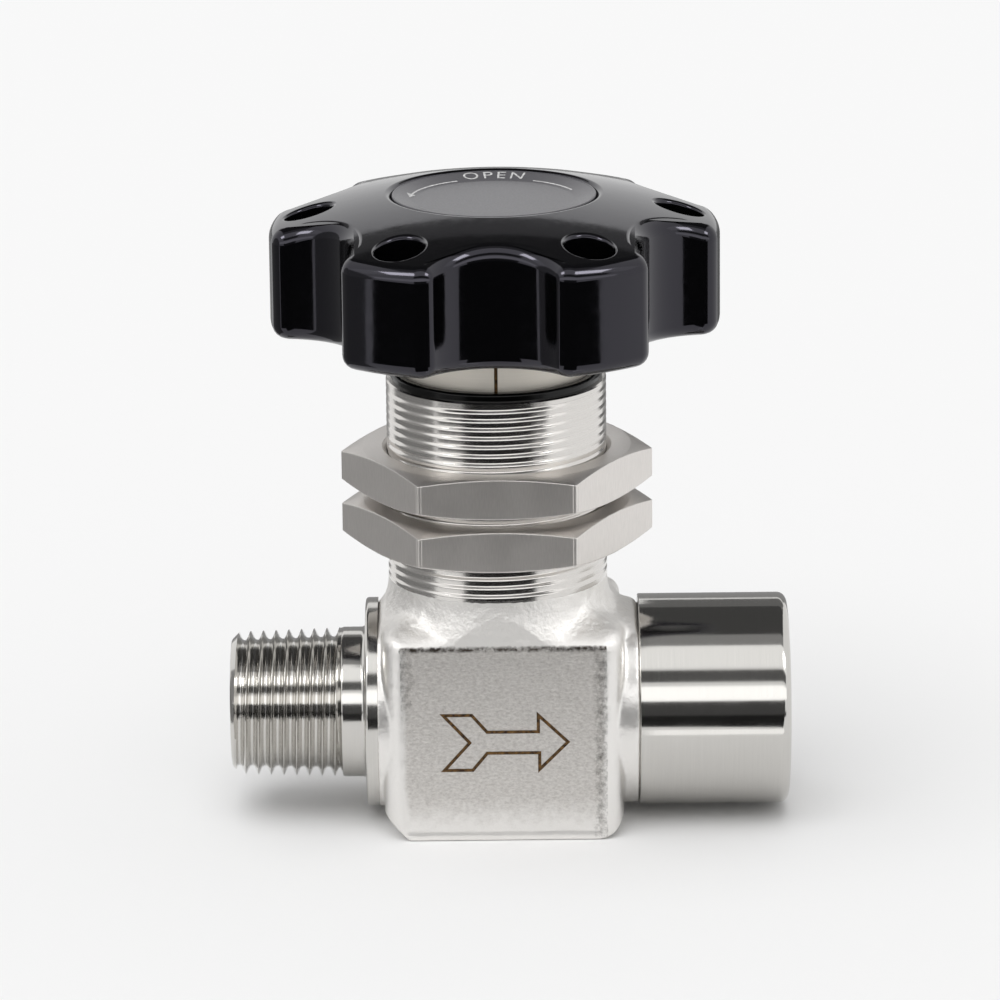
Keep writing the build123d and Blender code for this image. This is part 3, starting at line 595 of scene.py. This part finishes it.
finish_node("valve_seat", plain_polymer("machined_fluoropolymer", "#efece2", 0.45, 0.8 * mm))
diaphragm_alloy = plain_metal("rolled_cobalt_alloy", "#d2d1ce", 0.14, 0.4 * mm)
for name in ("diaphragm_lower", "diaphragm_middle", "diaphragm_upper"):
    finish_node(name, diaphragm_alloy)
finish_node("clamp_ring", turned_stainless("turned_316_ring", "Z", "#cdcac6", 0.2, 0.1 * mm))

# Bonnet: turned from bar, screwed into the neck, and fine blasted where its head shows under the handwheel,
# with one laser-marked index line in front. The bronze bushing and its spring ring sit inside it.
finish_node("bonnet", turned_stainless("blasted_316_bonnet", "Z", "#f0eadf", 0.55, 0.06 * mm, 0.25))
bonnet_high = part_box("bonnet")[1]
index_half = 0.24 * mm
index_front = -bonnet_high[0] + 0.16 * mm
index_low = 64.3 * mm
index_high = bonnet_high[2] - 0.5 * mm
index_points = [(x, index_front, z) for x in (-index_half, index_half) for z in (index_low, index_high)]
dress("bonnet_index", mesh_of("bonnet_index", index_points, [(0, 2, 3, 1)]), "valve_body",
      oxide)
finish_node("stem_bushing", plain_metal("turned_bronze", "#b98a56", 0.28, 0.3 * mm))
finish_node("retaining_ring", plain_metal("spring_steel", "#8b8b8c", 0.25, 0.3 * mm))

# Dust seal: a moulded nitrile rubber ring, black and slightly shiny. It lies on the rim of the neck and
# keeps dirt out of the gap round the bonnet.
finish_node("dust_seal", plain_polymer("nitrile_rubber", "#040404", 0.2, 0.5 * mm, 0.3))

# Push button and thrust ball: a stainless button that presses on the diaphragms, and a hardened ball that
# lets the stem turn on it. Both move with the stem.
finish_node("push_button", turned_stainless("turned_316_button", "Z", "#d0cdca", 0.2, 0.1 * mm))
finish_node("thrust_ball", plain_metal("polished_ball_steel", "#d8d8d8", 0.06, 0.3 * mm))

# Stem: turned stainless with its thread at crest size, an O-ring in its groove, and a key and a brass insert
# that carry the handwheel.
finish_node("stem", turned_stainless("turned_316_stem", "Z", "#d0cdca", 0.2, 0.1 * mm))
finish_node("stem_seal", plain_polymer("stem_seal_rubber", "#121212", 0.35, 0.5 * mm))
finish_node("knob_key", plain_metal("key_steel", "#7d7d7e", 0.35, 0.3 * mm))
finish_node("knob_insert", plain_metal("turned_brass", "#d9b36a", 0.25, 0.3 * mm))

# Handwheel: phenolic compression moulding in gloss black, six lobes with a hole through each, a domed top
# and a ribbed hollow below. The outer skin is built here; the hollow keeps its own solid's faces.
knob_low = 70.8 * mm
knob_edge_height = 86.0 * mm
knob_radius = 31.5 * mm
dome_radius = 95.0 * mm
scallop_radius = 10.3 * mm
scallop_depth = 6.8 * mm
lobe_corner = 2.6 * mm
top_round = 2.5 * mm
low_round = 2.0 * mm
grip_hole = 3.3 * mm
grip_hole_place = 25.8 * mm
grip_hole_low = 3.65 * mm
grip_hole_low_place = 26.2 * mm
hole_rim = 0.6 * mm
cap_radius = 14.3 * mm
cap_gap = 0.02 * mm
recess_rim = 1.0 * mm
recess_wall = 1.75 * mm
hollow_reach = 20.6 * mm
hollow_top = 83.6 * mm
skin_grid = 1.6 * mm
lobes = 6
scallop_centre = knob_radius - scallop_depth + scallop_radius
corner_centre = knob_radius - lobe_corner
corner_turn = math.acos((corner_centre**2 + scallop_centre**2 - (scallop_radius + lobe_corner)**2)
                        / (2 * corner_centre * scallop_centre))


def dome(radius):
    """Height of the domed top at a radius."""
    edge = math.sqrt(dome_radius**2 - knob_radius**2)
    return knob_edge_height - edge + math.sqrt(dome_radius**2 - radius**2)


def dome_normal(x, y):
    """Outward direction of the dome over a point of its plan."""
    return Vector((x, y, math.sqrt(dome_radius**2 - x * x - y * y))).normalized()


def lobed_outline():
    """Points of the wheel's plan and its outward directions: lobe arcs, corner arcs and scallop arcs."""
    outline = []
    half = math.pi / lobes

    def run(centre, radius, start, end, steps, inward=False):
        for k in range(steps):
            turn = start + (end - start) * k / steps
            out = Vector((math.cos(turn), math.sin(turn)))
            outline.append((centre + radius * out, -out if inward else out))

    for lobe in range(lobes):
        middle = 2 * half * lobe
        scallop = middle + half
        after, before = scallop - corner_turn, scallop + corner_turn
        run(Vector((0, 0)), knob_radius, middle - half + corner_turn, after, 22)
        hub = corner_centre * Vector((math.cos(after), math.sin(after)))
        far = scallop_centre * Vector((math.cos(scallop), math.sin(scallop)))
        reach = far - hub
        facing = math.atan2(reach.y, reach.x)
        run(hub, lobe_corner, after, after + (facing - after + math.pi) % (2 * math.pi) - math.pi, 12)
        hub_next = corner_centre * Vector((math.cos(before), math.sin(before)))
        reach_next = hub_next - far
        begin = math.atan2(-reach.y, -reach.x)
        finish = math.atan2(reach_next.y, reach_next.x)
        sweep = (finish - begin + math.pi) % (2 * math.pi) - math.pi
        run(far, scallop_radius, begin, begin + sweep, 26, inward=True)
        facing_next = math.atan2(-reach_next.y, -reach_next.x)
        turn_back = (before - facing_next + math.pi) % (2 * math.pi) - math.pi
        run(hub_next, lobe_corner, facing_next, facing_next + turn_back, 12)
    return outline


def wall_rows(outline):
    """Rows up the wheel's side: the lower round, the wall, and the upper round that runs into the dome."""
    rows = []
    for step in range(7):
        turn = math.radians(90 * step / 6)
        inset, lift = low_round * (1 - math.sin(turn)), low_round * (1 - math.cos(turn))
        rows.append([((q.x - inset * out.x, q.y - inset * out.y, knob_low + lift),
                      (out.x * math.sin(turn), out.y * math.sin(turn), -math.cos(turn)))
                     for q, out in outline])
    edge_rows = [[] for _ in range(10)]
    for q, out in outline:
        slope = math.asin(q.length / dome_radius) * max(out.dot(q.normalized()), 0.0)
        centre = dome(q.length) + math.tan(slope) * top_round - top_round / math.cos(slope)
        end = q - out * top_round * (1 - math.sin(slope))
        miss = dome(end.length) - (centre + top_round * math.cos(slope))
        for step in range(10):
            turn = (math.pi / 2 - slope) * step / 9
            inset = top_round * (1 - math.cos(turn))
            height = centre + top_round * math.sin(turn) + miss * step / 9
            spot = (q.x - inset * out.x, q.y - inset * out.y, height)
            normal = (out.x * math.cos(turn), out.y * math.cos(turn), math.sin(turn))
            edge_rows[step].append((spot, normal))
    edge_rows[9] = [(spot, tuple(dome_normal(spot[0], spot[1]))) for spot, _ in edge_rows[9]]
    return rows + edge_rows


def rim_rows(middle, radius, rim, size):
    """Rows of a rounded rim, from the dome down into a round hole."""
    rows = []
    for step in range(7):
        swing = math.radians(90 * step / 6)
        row = []
        for k in range(size):
            way = Vector((math.cos(2 * math.pi * k / size), math.sin(2 * math.pi * k / size)))
            spot = middle + (radius + rim * (1 - math.sin(swing))) * way
            normal = (-way.x * math.sin(swing), -way.y * math.sin(swing), math.cos(swing))
            if step == 0:
                normal = tuple(dome_normal(spot.x, spot.y))
            row.append(((spot.x, spot.y, dome(spot.length) - rim * (1 - math.cos(swing))), normal))
        rows.append(row)
    return rows


def spoke(lobe):
    """The direction of a lobe, or of a place between two lobes."""
    return Vector((math.cos(2 * math.pi * lobe / lobes), math.sin(2 * math.pi * lobe / lobes)))


def knob_skin():
    """The moulded outer skin: its points, their outward directions and its faces."""
    points, normals, faces, loops = [], [], [], []

    def lay(rows, edge):
        first, size = len(points), len(rows[0])
        faces.extend(ring_faces(len(rows), size, first))
        for row in rows:
            points.extend(spot for spot, _ in row)
            normals.extend(normal for _, normal in row)
        begin = first + edge % len(rows) * size
        loops.append(range(begin, begin + size))

    lay(wall_rows(lobed_outline()), -1)
    holes = [grip_hole_place * spoke(lobe) for lobe in range(lobes)]
    scallops = [scallop_centre * spoke(lobe + 0.5) for lobe in range(lobes)]
    for hole in holes:
        rows = rim_rows(hole, grip_hole, hole_rim, 64)
        foot = grip_hole_low_place / grip_hole_place * hole
        rows.append([((foot.x - grip_hole_low * n[0], foot.y - grip_hole_low * n[1], knob_low), n)
                     for _, n in rows[-1]])
        lay(rows, 0)
    rows = rim_rows(Vector((0, 0)), cap_radius + cap_gap, recess_rim, around)
    rows.append([((p[0], p[1], dome(cap_radius) - recess_wall), n) for p, n in rows[-1]])
    lay(rows, 0)

    known = [number for loop in loops for number in loop]
    plan = [Vector(points[number][:2]) for number in known]
    edges, begin = [], 0
    for loop in loops:
        edges += [(begin + k, begin + (k + 1) % len(loop)) for k in range(len(loop))]
        begin += len(loop)
    reach = int(knob_radius / skin_grid) + 1
    rim_clear, wall_clear, scallop_clear = 0.8 * mm, 3.4 * mm, 3.2 * mm
    for i in range(-reach, reach + 1):
        for j in range(-reach, reach + 1):
            spot = Vector(((i + 0.5 * (j % 2)) * skin_grid, j * skin_grid * 0.866))
            clear = min(knob_radius - wall_clear - spot.length,
                        spot.length - cap_radius - recess_rim - rim_clear,
                        min((spot - far).length for far in scallops) - scallop_radius - scallop_clear,
                        min((spot - hole).length for hole in holes) - grip_hole - hole_rim - rim_clear)
            if clear > 0:
                plan.append(spot)
    coords, _, triangles, origins, _, _ = delaunay_2d_cdt(plan, edges, [], 0, 1e-7)
    numbers = []
    for k, spot in enumerate(coords):
        source = origins[k][0] if origins[k] else -1
        if 0 <= source < len(known):
            numbers.append(known[source])
        else:
            numbers.append(len(points))
            points.append((spot.x, spot.y, dome(spot.length)))
            normals.append(tuple(dome_normal(spot.x, spot.y)))
    for triangle in triangles:
        middle = sum((coords[k] for k in triangle), Vector((0, 0))) / 3
        in_recess = middle.length < cap_radius + cap_gap + recess_rim - 0.05 * mm
        in_hole = any((middle - hole).length < grip_hole + hole_rim - 0.05 * mm for hole in holes)
        outside = any((middle - far).length < scallop_radius + 0.9 * mm for far in scallops)
        if not (in_recess or in_hole or outside):
            faces.append(tuple(numbers[k] for k in triangle))
    return points, normals, faces


def phenolic():
    """Gloss black phenolic: deep black with a hard moulded shine and the faintest waviness."""
    material, tree = new_material("moulded_black_phenolic")
    place = add(tree, "ShaderNodeTexCoord", output="Object")
    flow = add(tree, "ShaderNodeTexNoise", {"Vector": place, "Scale": 1 / (7 * mm), "Detail": 3.0})
    haze = add(tree, "ShaderNodeTexNoise", {"Vector": place, "Scale": 1 / (1.5 * mm), "Detail": 5.0})
    rough = add(tree, "ShaderNodeMapRange", {"Value": haze, "From Min": 0.3, "From Max": 0.7,
                                             "To Min": 0.06, "To Max": 0.12})
    bump = add(tree, "ShaderNodeBump", {"Height": flow, "Strength": 0.08, "Distance": 0.3 * mm})
    shader = add(tree, "ShaderNodeBsdfPrincipled", {"Base Color": linear("#050506"), "Roughness": rough,
                                                    "IOR": 1.6, "Specular Tint": linear("#e4e1f2"),
                                                    "Normal": bump})
    add(tree, "ShaderNodeOutputMaterial", {"Surface": shader})
    return material


black_phenolic = phenolic()
skin_points, skin_normals, skin_faces = knob_skin()
skin_mesh = mesh_of("knob_skin", skin_points, skin_faces)
skin_mesh.validate()
knob_skin_piece = dress("knob_skin", skin_mesh, "handwheel", black_phenolic)
work = bmesh.new()
work.from_mesh(skin_mesh)
inward = [f for f in work.faces if f.normal.dot(Vector(skin_normals[f.verts[0].index])) < 0]
bmesh.ops.reverse_faces(work, faces=inward)
work.to_mesh(skin_mesh)
work.free()
skin_mesh.shade_smooth()
skin_mesh.normals_split_custom_set_from_vertices(skin_normals)

# The solid's own floor, ribs and hub close the wheel below; the floor is drawn in to the skin's softer edge.
underside = nodes["knob"].data.copy()
work = bmesh.new()
work.from_mesh(underside)
outer = []
for face in work.faces:
    middle = face.calc_center_median()
    on_floor = max(abs(corner.co.z - knob_low) for corner in face.verts) < 0.002 * mm
    in_hollow = middle.xy.length < hollow_reach and middle.z < hollow_top and face.normal.z < 0.9
    if not (on_floor or in_hollow):
        outer.append(face)
bmesh.ops.delete(work, geom=outer, context="FACES")
plan = lobed_outline()
for corner in work.verts:
    if abs(corner.co.z - knob_low) < 0.002 * mm and corner.co.xy.length > hollow_reach:
        edge, out = min(plan, key=lambda pair: (pair[0] - corner.co.xy).length)
        short = low_round - 0.3 * mm - (edge - corner.co.xy).dot(out)
        if short > 0:
            corner.co.xy = corner.co.xy - short * out
work.to_mesh(underside)
work.free()
knob_underside = dress("knob_underside", underside, "handwheel", black_phenolic)
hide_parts("knob")
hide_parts("knob")

# Washer and socket screw: hardened steel parts that hold the wheel down on its stem, hidden by the cap. The
# screw is blackened, the washer is left bright.
finish_node("knob_washer", plain_metal("washer_steel", "#9a9a9b", 0.3, 0.3 * mm))
finish_node("knob_screw", plain_metal("blackened_screw_steel", "#4a4a4c", 0.38, 0.3 * mm))

# Cap: satin grey moulded disc that snaps into the screw well. Its border slopes down to a flat middle and
# is printed in pale ink: the word that tells which way opens, with a curved line on each side of it that
# ends in an arrow head on the left.
cap_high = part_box("knob_cap")[1][2]
cap_ring = 11.15 * mm
cap_dish = 0.85 * mm
cap_print = 0.02 * mm


def printed_ink():
    """Pale screen-print ink, matt and slightly worn."""
    material, tree = new_material("pale_print_ink")
    place = add(tree, "ShaderNodeTexCoord", output="Object")
    worn = add(tree, "ShaderNodeTexNoise", {"Vector": place, "Scale": 1 / (0.4 * mm), "Detail": 3.0})
    fade = add(tree, "ShaderNodeMapRange", {"Value": worn, "From Min": 0.35, "From Max": 0.65})
    colour = add(tree, "ShaderNodeMix", {0: fade, 6: linear("#a9a8a8"), 7: linear("#dcdcdc")},
                 data_type="RGBA")
    shader = add(tree, "ShaderNodeBsdfPrincipled", {"Base Color": colour, "Roughness": 0.6})
    add(tree, "ShaderNodeOutputMaterial", {"Surface": shader})
    return material


def dish_height(radius):
    """Height of the sloping border of the cap."""
    return cap_high - cap_dish * (cap_radius - radius) / (cap_radius - cap_ring)


def on_border(turn, radius):
    """A printed point on the sloping border, at an angle in degrees."""
    spin = math.radians(turn)
    return (radius * math.cos(spin), radius * math.sin(spin), dish_height(radius) + cap_print)


cap_wall = cap_radius - 0.02 * mm
cap_edge = 0.2 * mm
cap_profile = [(cap_high - 1.4 * mm, cap_wall), (cap_high - cap_edge, cap_wall)]
cap_profile += [(z, r) for r, z in arc((cap_wall - cap_edge, cap_high - cap_edge), cap_edge, 0, 90, 6)]
cap_profile += [(dish_height(radius), radius) for radius in (cap_radius - 0.35 * mm, cap_ring + 0.1 * mm)]
cap_profile += [(cap_high - cap_dish, cap_ring - 0.1 * mm), (cap_high - cap_dish, 0.01 * mm)]
cap_mesh = turned_mesh(cap_profile, "Z")
smooth_edges(cap_mesh, 12)
cap_disc = dress("cap_disc", cap_mesh, "handwheel",
                 plain_polymer("satin_grey_moulding", "#57565a", 0.32, 0.25 * mm))
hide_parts("knob_cap")
ink = printed_ink()
letters = bpy.data.curves.new("cap_word", "FONT")
letters.body = "OPEN"
letters.align_x = "CENTER"
letters.align_y = "CENTER"
letters.space_character = 1.3
text_piece = bpy.data.objects.new("cap_word_curve", letters)
bpy.context.scene.collection.objects.link(text_piece)
bpy.context.view_layer.update()
word_mesh = bpy.data.meshes.new_from_object(text_piece.evaluated_get(bpy.context.evaluated_depsgraph_get()))
bpy.data.objects.remove(text_piece)
word_radius = 12.75 * mm
word_width = 8.6 * mm
word_height = 1.9 * mm
reaches = np.array([tuple(point.co) for point in word_mesh.vertices])
across, tall = np.ptp(reaches[:, 0]), np.ptp(reaches[:, 1])
for point in word_mesh.vertices:
    turn = 90 - math.degrees(point.co.x * word_width / across / word_radius)
    point.co = on_border(turn, word_radius + point.co.y * word_height / tall)
dress("cap_word", word_mesh, "handwheel", ink)
arrow_radius = 11.75 * mm
arrow_half = 0.13 * mm
arrow_points, arrow_faces = [], []
for start, end in ((116, 168), (62, 22)):
    begin = len(arrow_points)
    for k in range(25):
        turn = start + (end - start) * k / 24
        arrow_points += [on_border(turn, arrow_radius + side) for side in (-arrow_half, arrow_half)]
    arrow_faces += [(k, k + 1, k + 3, k + 2) for k in range(begin, begin + 48, 2)]
head = len(arrow_points)
arrow_points += [on_border(167, arrow_radius - 0.5 * mm), on_border(167, arrow_radius + 0.75 * mm),
                 on_border(176, arrow_radius + 0.05 * mm)]
arrow_faces.append((head, head + 1, head + 2))
dress("cap_arrow", mesh_of("cap_arrow", arrow_points, arrow_faces), "handwheel", ink)

# Panel nuts: two thin hexagon nuts of satin milled stainless, turned on both faces with a shallow cone that
# cuts the corners. Their edges are lightly broken, so each catches a thin line of light.
nut_flats = 38.1 * mm
nut_height = 5.8 * mm
nut_bore = 15.58 * mm
nut_drop = 0.85 * mm
nut_corner = 0.4 * mm
nut_break = 0.14 * mm


def hex_radius(turn):
    """Radius of the hexagon's outline at an angle, with its corners rounded."""
    from_corner = abs((turn + math.pi / 6) % (math.pi / 3) - math.pi / 6)
    flat = nut_flats / 2 / math.cos(math.pi / 6 - from_corner)
    centre = (nut_flats / 2 - nut_corner) / math.cos(math.pi / 6)
    side = centre * math.sin(from_corner)
    if side >= nut_corner:
        return flat
    return min(flat, centre * math.cos(from_corner) + math.sqrt(nut_corner**2 - side**2))


def nut_mesh(low):
    """A hexagon nut standing on this height."""
    corner_half = 1.2
    turns = []
    for corner in range(6):
        turns += [60 * corner + corner_half * k / 4 for k in range(-4, 5)]
        turns += [60 * corner + corner_half + (60 - 2 * corner_half) * k / 24 for k in range(1, 24)]
    high = low + nut_height
    face_reach = nut_flats / 2 - 0.05 * mm
    cone = nut_drop / (nut_flats / math.sqrt(3) - nut_flats / 2)
    points, faces = [], []
    for turn in map(math.radians, sorted(turns)):
        outer = hex_radius(turn)
        drop = cone * max(outer - face_reach, 0.0)
        column = [(nut_bore, low + 0.6 * mm), (nut_bore + 0.5 * mm, low + 0.1 * mm),
                  (nut_bore + 0.62 * mm, low), (face_reach - nut_break, low), (face_reach, low + 0.02 * mm),
                  (outer - nut_break, low + drop - 0.03 * mm), (outer - 0.04 * mm, low + drop + 0.04 * mm),
                  (outer, low + drop + nut_break), (outer, low + drop + nut_break + 0.06 * mm)]
        column += [(radius, high + low - height) for radius, height in reversed(column)]
        points += [(radius * math.cos(turn), radius * math.sin(turn), height) for radius, height in column]
    size = len(column)
    for k in range(len(turns)):
        here, there = k * size, ((k + 1) % len(turns)) * size
        for row in range(size):
            after = (row + 1) % size
            faces.append((here + row, there + row, there + after, here + after))
    mesh = mesh_of("nut", points, faces)
    tidy(mesh, 0.003 * mm)
    smooth_edges(mesh, 24)
    return mesh


def satin_stainless():
    """Milled and tumbled stainless: an even satin grey with a short fine grain."""
    material, tree = new_material("satin_304_stainless")
    place = add(tree, "ShaderNodeTexCoord", output="Object")
    brushed = add(tree, "ShaderNodeMapping", {"Vector": place, "Scale": (1 / (0.15 * mm), 1 / (0.15 * mm),
                                                                         1 / (1.6 * mm))})
    grain = add(tree, "ShaderNodeTexNoise", {"Vector": brushed, "Scale": 1.0, "Detail": 4.0,
                                             "Roughness": 0.6})
    cloud = add(tree, "ShaderNodeTexNoise", {"Vector": place, "Scale": 1 / (3.5 * mm), "Detail": 4.0})
    rough = add(tree, "ShaderNodeMapRange", {"Value": cloud, "From Min": 0.3, "From Max": 0.7,
                                             "To Min": 0.40, "To Max": 0.43})
    tone = add(tree, "ShaderNodeMapRange", {"Value": grain, "From Min": 0.3, "From Max": 0.7,
                                            "To Min": 0.9, "To Max": 1.0})
    colour = add(tree, "ShaderNodeMix", {0: tone, 6: linear("#000000"), 7: linear("#e4e0dc")},
                 data_type="RGBA")
    bump = add(tree, "ShaderNodeBump", {"Height": grain, "Strength": 0.15, "Distance": 0.02 * mm})
    shader = add(tree, "ShaderNodeBsdfPrincipled", {"Base Color": colour, "Metallic": 1.0,
                                                    "Roughness": rough, "Normal": bump})
    add(tree, "ShaderNodeOutputMaterial", {"Surface": shader})
    return material


nut_steel = satin_stainless()
for name, body in (("lower_panel_nut", "lower_nut"), ("upper_panel_nut", "upper_nut")):
    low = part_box(name)[0][2]
    hexagon_nut = dress(name + "_finished", nut_mesh(low), body, nut_steel)
    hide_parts(name)

# Studio: a plain pale floor, a soft white surround, and black flags and strip lights that only the polished
# metal sees, as a product photographer sets them round steel.
floor_size = 6.0
card_lift = 0.4 * mm
flag_distance = 0.75
window_distance = 0.97 * flag_distance


def shade_only(name, strength):
    """A card that glows evenly with this strength, for reflections."""
    material, tree = new_material(name)
    glow = add(tree, "ShaderNodeEmission", {"Color": (1, 1, 1, 1), "Strength": strength})
    add(tree, "ShaderNodeOutputMaterial", {"Surface": glow})
    return material


def paper():
    """Seamless white background paper."""
    material, tree = new_material("white_background_paper")
    shader = add(tree, "ShaderNodeBsdfDiffuse", {"Color": linear("#f4f4f4")})
    add(tree, "ShaderNodeOutputMaterial", {"Surface": shader})
    return material


def stage_mesh(name, points, faces, material, reflections_only=True):
    """A piece of the studio."""
    mesh = mesh_of(name, points, faces)
    mesh.materials.append(material)
    thing = bpy.data.objects.new(name, mesh)
    bpy.context.scene.collection.objects.link(thing)
    if reflections_only:
        thing.visible_camera = False
        thing.visible_diffuse = False
        thing.visible_shadow = False
        thing.visible_transmission = False


def card(name, low, high, left, right, material, distance=flag_distance):
    """A curved card round the object: elevations over the front horizon, and sideways angles, in degrees."""
    points, faces = [], []
    across, along = 24, 12
    for i in range(along + 1):
        lift = math.radians(low + (high - low) * i / along)
        for j in range(across + 1):
            side = math.radians(left + (right - left) * j / across)
            points.append((distance * math.sin(side), -distance * math.cos(side) * math.cos(lift),
                           0.02 + distance * math.cos(side) * math.sin(lift)))
    for i in range(along):
        for j in range(across):
            k = i * (across + 1) + j
            faces.append((k, k + 1, k + across + 2, k + across + 1))
    stage_mesh(name, points, faces, material)


def upright_card(name, left, right, behind, low, high, material):
    """A flat upright card behind the object."""
    corners = [(left, behind, low), (right, behind, low), (right, behind, high), (left, behind, high)]
    stage_mesh(name, corners, [(0, 1, 2, 3)], material)


floor_corners = [(-floor_size, -floor_size, 0), (floor_size, -floor_size, 0), (floor_size, floor_size, 0),
                 (-floor_size, floor_size, 0)]
stage_mesh("floor", floor_corners, [(0, 1, 2, 3)], paper(), reflections_only=False)
near_black = shade_only("black_flag", 0.015)
dark_card = shade_only("dark_card", 0.07)
grey_card = shade_only("grey_card", 0.11)
half_card = shade_only("half_card", 0.3)
side_card = shade_only("side_card", 0.22)
strip = shade_only("strip_light", 1.7)
softbox = shade_only("softbox", 1.2)
window = shade_only("side_window", 9.0)


def floor_card(name, near, far, left, right, material):
    """A flat card just over the floor, between two distances and two sideways angles in degrees."""
    points = [(near * math.sin(math.radians(side)), -near * math.cos(math.radians(side)), card_lift)
              for side in np.linspace(left, right, 13)]
    points += [(far * math.sin(math.radians(side)), -far * math.cos(math.radians(side)), card_lift)
               for side in np.linspace(right, left, 13)]
    stage_mesh(name, points, [tuple(range(len(points)))], material)


floor_card("floor_flag_near", 0.085, 0.235, -34, 38, near_black)
floor_card("floor_flag_far", 0.235, 0.9, -62, 52, near_black)
floor_card("floor_side", 0.085, 0.9, -130, -66, side_card)
strip_corners = [(0.022, -0.066, card_lift), (0.06, -0.066, card_lift), (0.06, -0.05, card_lift),
                 (0.022, -0.05, card_lift)]
stage_mesh("floor_strip", strip_corners, [(0, 1, 2, 3)], shade_only("floor_glow", 1.4))
upright_card("low_backdrop", -0.09, 0.10, 0.13, 0, 0.08, half_card)
upright_card("outlet_backdrop", 0.022, 0.07, 0.05, 0.054, 0.079, shade_only("outlet_backdrop", 0.17))
card("left_window", 54, 70, -44, -27, window, window_distance)
card("right_window", 54, 70, 27, 44, window, window_distance)
card("left_panel", -20, 200, -90, -62, half_card)
card("front_flag", -10, 14, -34, 40, dark_card)
card("front_strip", 14, 30, -60, 60, strip)
card("upper_flag", 34.5, 47.5, -33, 52, grey_card)
card("top_softbox", 50, 76, -60, 60, softbox)
card("top_half", 76, 90, -30, 30, half_card)
card("back_flag", 90, 136, -30, 30, dark_card)
card("back_half", 136, 143.5, -30, 30, side_card)

world = bpy.data.worlds.new("studio_surround")
world.use_nodes = True
sky = world.node_tree
sky.nodes.clear()
rays = [add(sky, "ShaderNodeLightPath", output=name) for name in ("Is Camera Ray", "Is Glossy Ray",
                                                                 "Is Transmission Ray")]
seen = add(sky, "ShaderNodeMath", {0: rays[0], 1: rays[1]}, operation="MAXIMUM")
seen = add(sky, "ShaderNodeMath", {0: seen, 1: rays[2]}, operation="MAXIMUM")
level = add(sky, "ShaderNodeMapRange", {"Value": seen, "To Min": 0.62, "To Max": 0.95})
glow = add(sky, "ShaderNodeBackground", {"Color": (1, 1, 1, 1), "Strength": level})
add(sky, "ShaderNodeOutputWorld", {"Surface": glow})
bpy.context.scene.world = world
lamp_data = bpy.data.lights.new("overhead_lamp", "SUN")
lamp_data.energy = 1.42
lamp_data.angle = math.radians(60)
lamp = bpy.data.objects.new("overhead_lamp", lamp_data)
bpy.context.scene.collection.objects.link(lamp)
lamp.rotation_euler = (math.radians(18), math.radians(-12), 0)
lamp.visible_glossy = False

# Camera: a long lens straight in front of the valve and 16 degrees above the horizon, with the small roll
# of the photograph.
camera_distance = 849 * mm
camera_tilt = math.radians(16)
camera_roll = math.radians(-0.6)
aim = Vector((0.4 * mm, 0, 45.5 * mm))
lens = bpy.data.cameras.new("camera")
lens.sensor_width = 36
lens.lens = 216
lens.clip_start = 0.01
lens.clip_end = 50
camera = bpy.data.objects.new("camera", lens)
bpy.context.scene.collection.objects.link(camera)
camera.location = aim + camera_distance * Vector((0, -math.cos(camera_tilt), math.sin(camera_tilt)))
level_view = Matrix.Rotation(math.radians(90) - camera_tilt, 3, "X")
camera.rotation_euler = (level_view @ Matrix.Rotation(camera_roll, 3, "Z")).to_euler()
bpy.context.scene.camera = camera
bpy.context.scene.view_settings.view_transform = "Standard"
